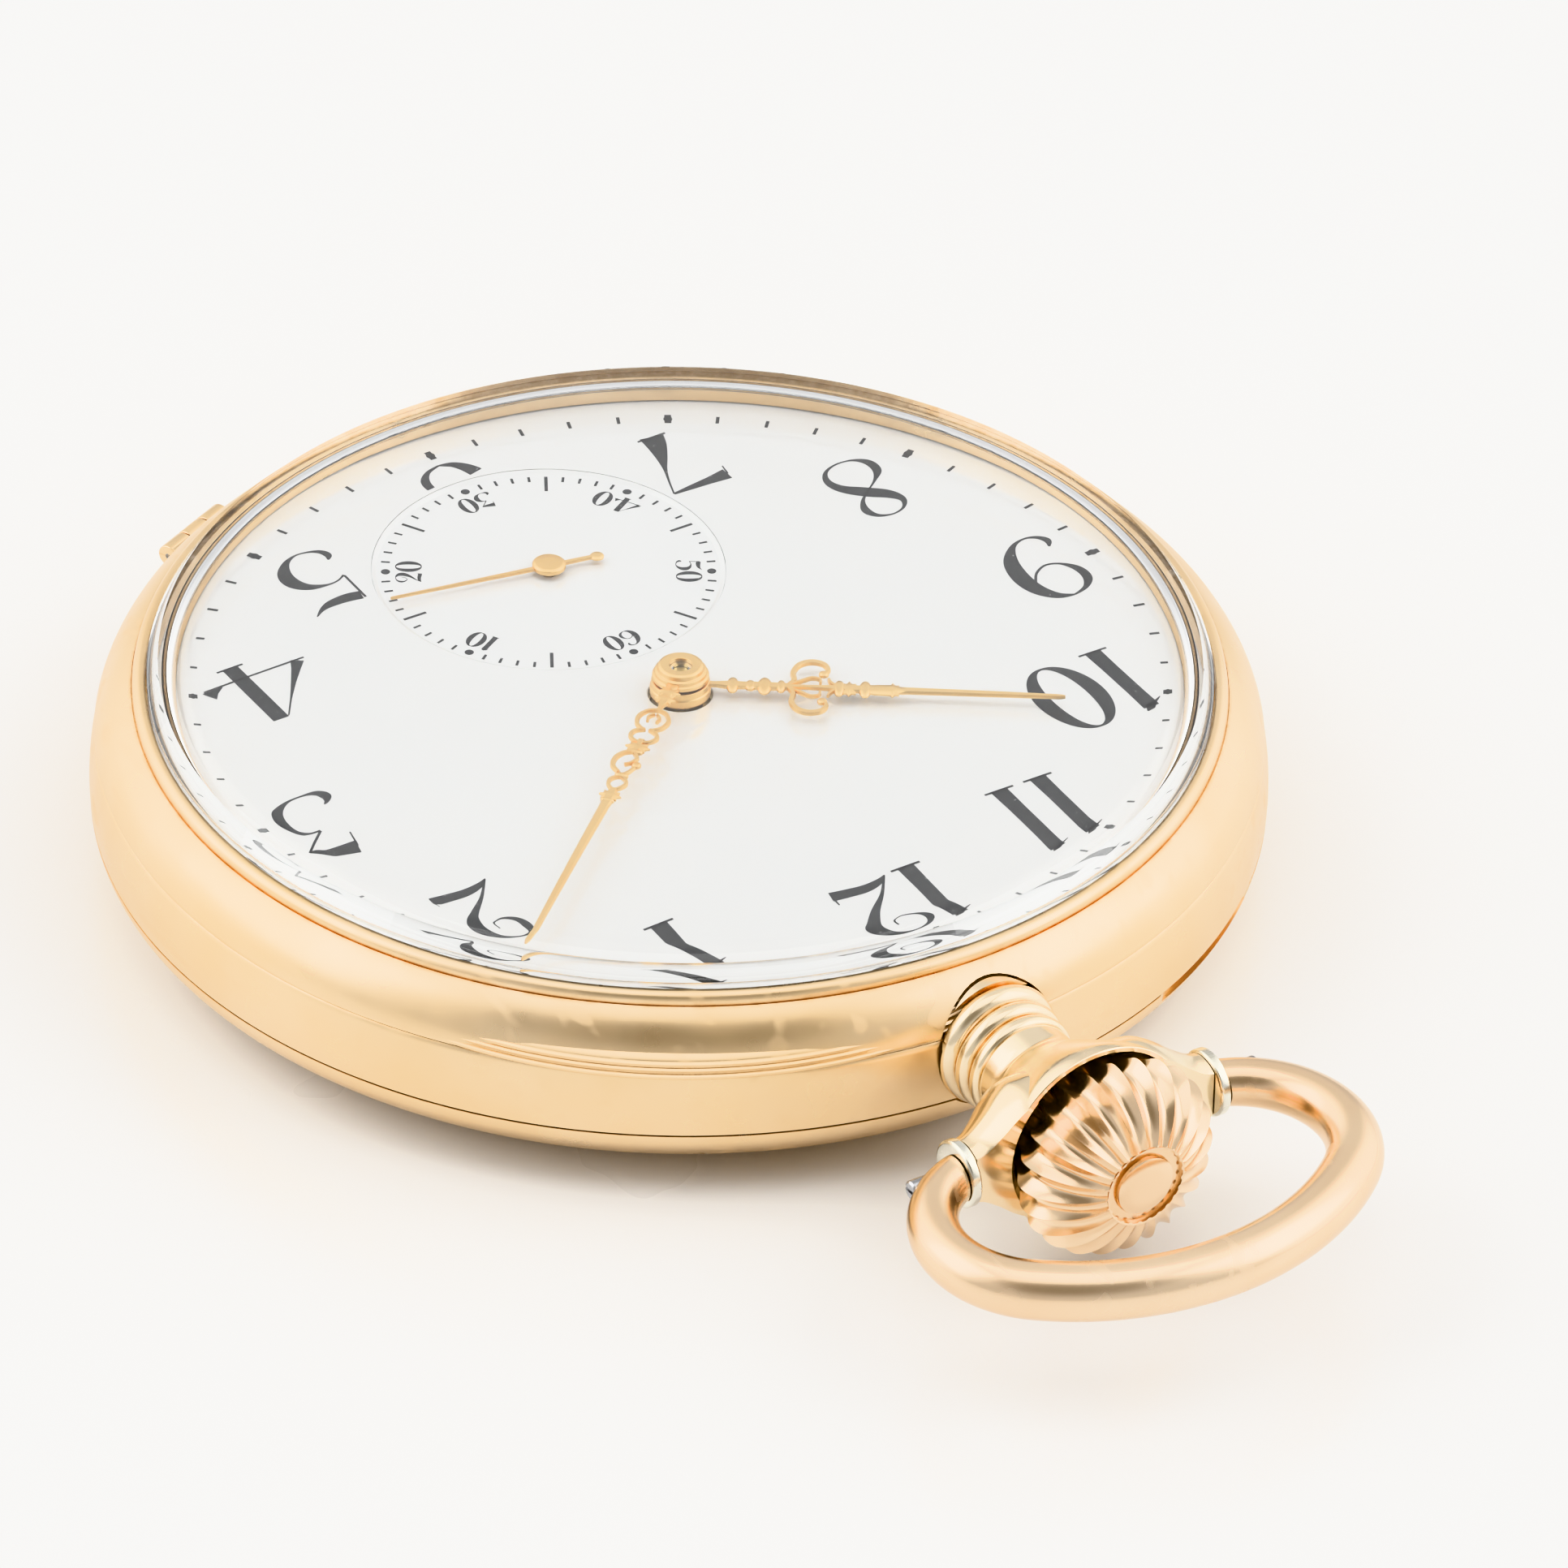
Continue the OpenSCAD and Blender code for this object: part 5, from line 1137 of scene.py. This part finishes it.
minute_strokes = mirrored([
    ("bar", [(0, 0.9, 0.6), (0, 1.35, 0.5), (0, 2.4, 0.45), (0, 2.75, 0.2), (0, 3.1, 0.26)]),
    ("star", (1.6, 0.52)),
    ("star", (2.12, 0.46)),
    ("curve", [(0.0, 3.0, 0.2), (0.42, 3.2, 0.22), (0.66, 3.7, 0.26), (0.52, 4.25, 0.24), (0.12, 4.58, 0.2)]),
    ("curve", [(0.06, 3.35, 0.14), (0.24, 3.6, 0.18), (0.2, 3.9, 0.14)]),
    ("curve", [(0.1, 4.5, 0.22), (0.46, 4.72, 0.24), (0.56, 5.05, 0.26), (0.36, 5.36, 0.22), (0.06, 5.5, 0.2)]),
    ("star", (5.82, 0.54)),
    ("bead", (6.18, 0.34, 0.16)),
    ("bar", [(0, 5.3, 0.3), (0, 6.3, 0.3)]),
])
minute_strokes += [
    ("curve", [(0.05, 6.2, 0.22), (0.42, 6.42, 0.26), (0.64, 6.9, 0.3), (0.56, 7.42, 0.28), (0.2, 7.8, 0.22)]),
    ("curve", [(-0.02, 6.3, 0.2), (-0.24, 6.62, 0.22), (-0.12, 7.0, 0.18), (0.12, 7.22, 0.16)]),
    ("ball", (-0.36, 7.1, 0.2)),
    ("curve", [(0.0, 8.0, 0.2), (-0.2, 7.7, 0.2), (-0.34, 7.3, 0.18)]),
    ("bead", (7.98, 0.3, 0.16)),
    ("loop", [(0.0, 8.1, 0.2), (0.32, 8.34, 0.22), (0.34, 8.7, 0.22), (0.0, 9.08, 0.2), (-0.34, 8.7, 0.22),
              (-0.32, 8.34, 0.22)]),
    ("star", (9.48, 0.48)),
    ("bead", (9.86, 0.3, 0.14)),
    ("bar", [(0, 9.0, 0.3), (0, 9.5, 0.5), (0, 9.95, 0.46), (0, 10.3, 0.42), (0, 16.0, 0.31),
             (0, MINUTE_TIP - 0.3, 0.2), (0, MINUTE_TIP, 0.06)]),
]
place_minute = hand_place(MINUTE_CLOCK, minute_z + 0.16)
minute = joined("minute_hand_pierced", hand_shells(minute_strokes, place_minute, 0.15), sharp=40)
piece(minute, "centre", "hands", ["minute_hand"])
hub_rings("minute_hand_hub", "centre", minute_z, [(0.48, 0), (1.2, 0), (1.2, 0.16), (1.1, 0.2), (1.1, 0.36),
                                                  (0.98, 0.4), (0.96, 0.58), (0.84, 0.64), (0.48, 0.62)], 0.025)

place_second = hand_place(SECOND_CLOCK, second_z, SECONDS)
second_strokes = [
    ("bar", [(0, -2.45, 0.2), (0, -2.0, 0.22), (0, -0.8, 0.24), (0, 0.8, 0.25), (0, 4.0, 0.17),
             (0, SECOND_TIP - 0.1, 0.1), (0, SECOND_TIP, 0.05)]),
    ("bead", (-2.2, 0.3, 0.3)),
]
second = joined("seconds_hand_fine", hand_shells(second_strokes, place_second, 0.12), sharp=40)
piece(second, "fourth", "hands", ["seconds_hand"])
hub_rings("seconds_hand_hub", "fourth", second_z, [(0.0, 0), (0.72, 0), (0.72, 0.18), (0.6, 0.26), (0.3, 0.3),
                                                   (0.0, 0.3)], 0.04, SECONDS)


# ---------- the movement and the other CAD pieces keep their shapes ----------

FINISH = {
    "gilt": ["cuvette", "barrel_drum", "barrel_cover", "centre_wheel", "third_wheel", "fourth_wheel",
             "hour_wheel", "minute_wheel", "balance_wheel", "main_plate"],
    "nickel": ["barrel_bridge", "train_bridge", "balance_cock", "pallet_cock"],
    "ruby": ["jewels", "pallet_stones"],
    "blued": ["bridge_screws", "crown_wheel_screw", "ratchet_screw", "hairspring", "mainspring",
              "balance_screws"],
    "copper": ["dial_feet"],
}
by_node = {n: key for key, names in FINISH.items() for n in names}
for name, ob in frame["nodes"].items():
    if not ob.hide_render:
        dress(ob, by_node.get(name, "steel"))


# ---------- floor, light and camera ----------

def floor_material():
    m = Nodes("pale_floor")
    fine = m.noise(90, 3, 0.5)
    tone = m.mix(m.ramp(fine, 0.3, 0.7), (0.70, 0.697, 0.692), (0.688, 0.685, 0.68))
    return m.finish(tone, m.ramp(fine, 0.3, 0.7, 0.26, 0.32), metallic=0.0)


FLOOR_HALF, FLOOR_Z = 900, -0.02
corners = [(x * FLOOR_HALF, y * FLOOR_HALF, FLOOR_Z) for x, y in ((-1, -1), (1, -1), (1, 1), (-1, 1))]
floor = new_mesh("floor", corners, [(0, 1, 2, 3)])
floor.data.materials.append(floor_material())

AZIMUTH, ELEVATION, DISTANCE, ROLL = 147.378, 35.38, 500.25, 1.213
AIM = Vector((-1.493, 5.93, 6.2))
LENS, SENSOR = 273.56, 36
az, el, roll = (math.radians(v) for v in (AZIMUTH, ELEVATION, ROLL))
backward = Vector((math.sin(az) * math.cos(el), -math.cos(az) * math.cos(el), math.sin(el)))
right = Vector((math.cos(az), math.sin(az), 0))
up = backward.cross(right)
right, up = right * math.cos(roll) + up * math.sin(roll), up * math.cos(roll) - right * math.sin(roll)
cam_data = bpy.data.cameras.new("camera")
cam_data.lens = LENS
cam_data.sensor_width = SENSOR
cam_data.sensor_fit = "HORIZONTAL"
cam_data.clip_start = 0.01
cam_data.clip_end = 10
cam_data.dof.use_dof = False
camera = bpy.data.objects.new("camera", cam_data)
eye = AIM + backward * DISTANCE
camera.matrix_world = Matrix([(right[i], up[i], backward[i], eye[i] * MM) for i in range(3)] + [(0, 0, 0, 1)])
scene.collection.objects.link(camera)
scene.camera = camera

toward = Vector((backward.x, backward.y, 0)).normalized()
sideways = Vector((-toward.y, toward.x, 0))
PANEL_WATTS = 1.6


def area_light(name, where, size):
    """A soft square panel. where is in mm: towards the camera, to its right, and up."""
    light = bpy.data.lights.new(name, "AREA")
    light.shape = "RECTANGLE"
    light.size = light.size_y = size * MM
    light.energy = PANEL_WATTS
    ob = bpy.data.objects.new(name, light)
    at = (toward * where[0] + sideways * where[1] + Vector((0, 0, where[2]))) * MM
    ob.location = at
    ob.rotation_euler = (Vector((0, 0, 0.008)) - at).to_track_quat("-Z", "Y").to_euler()
    scene.collection.objects.link(ob)


area_light("panel_left", (40, -420, 330), 420)
area_light("panel_right", (40, 420, 330), 420)
area_light("panel_top", (60, 0, 700), 520)


def studio_world():
    """A pale room with a bright patch low at each side.

    A darker patch above the camera shades the front rim. A pale one behind the watch shows in the glass.
    """
    world = bpy.data.worlds.new("studio")
    scene.world = world
    world.use_nodes = True
    tree = world.node_tree
    tree.nodes.clear()
    coord = tree.nodes.new("ShaderNodeTexCoord")

    def near(direction, inner, outer):
        """1 close to a direction and 0 beyond outer degrees from it."""
        dot = tree.nodes.new("ShaderNodeVectorMath")
        dot.operation = "DOT_PRODUCT"
        tree.links.new(coord.outputs["Generated"], dot.inputs[0])
        dot.inputs[1].default_value = tuple(Vector(direction).normalized())
        ramp = tree.nodes.new("ShaderNodeMapRange")
        ramp.interpolation_type = "SMOOTHSTEP"
        tree.links.new(dot.outputs["Value"], ramp.inputs["Value"])
        ramp.inputs["From Min"].default_value = math.cos(math.radians(outer))
        ramp.inputs["From Max"].default_value = math.cos(math.radians(inner))
        return ramp.outputs["Result"]

    def blend(fac, a, b):
        node = tree.nodes.new("ShaderNodeMix")
        node.data_type = "RGBA"
        tree.links.new(fac, node.inputs[0])
        for k, v in ((6, a), (7, b)):
            if isinstance(v, bpy.types.NodeSocket):
                tree.links.new(v, node.inputs[k])
            else:
                node.inputs[k].default_value = (*v, 1)
        return node.outputs[2]

    behind = Vector((-backward.x, -backward.y, 0)).normalized()
    across = Vector((behind.y, -behind.x, 0))
    room = blend(near((0, 0, 1), 0, 75), (0.84, 0.835, 0.83), (1.06, 1.065, 1.07))
    room = blend(near(Vector((0, 0, 1.2)) - behind, 14, 40), room, (0.36, 0.33, 0.28))
    for way in (behind * 0.35 - across, behind * 0.35 + across):
        room = blend(near(way + Vector((0, 0, 0.5)), 18, 50), room, (3.6, 3.58, 3.52))
    room = blend(near(behind + Vector((0, 0, 0.72)), 6, 26), room, (1.05, 1.05, 1.055))
    shade = tree.nodes.new("ShaderNodeBackground")
    tree.links.new(room, shade.inputs["Color"])
    shade.inputs["Strength"].default_value = 0.86
    out = tree.nodes.new("ShaderNodeOutputWorld")
    tree.links.new(shade.outputs[0], out.inputs[0])


studio_world()
scene.view_settings.view_transform = "Khronos PBR Neutral"
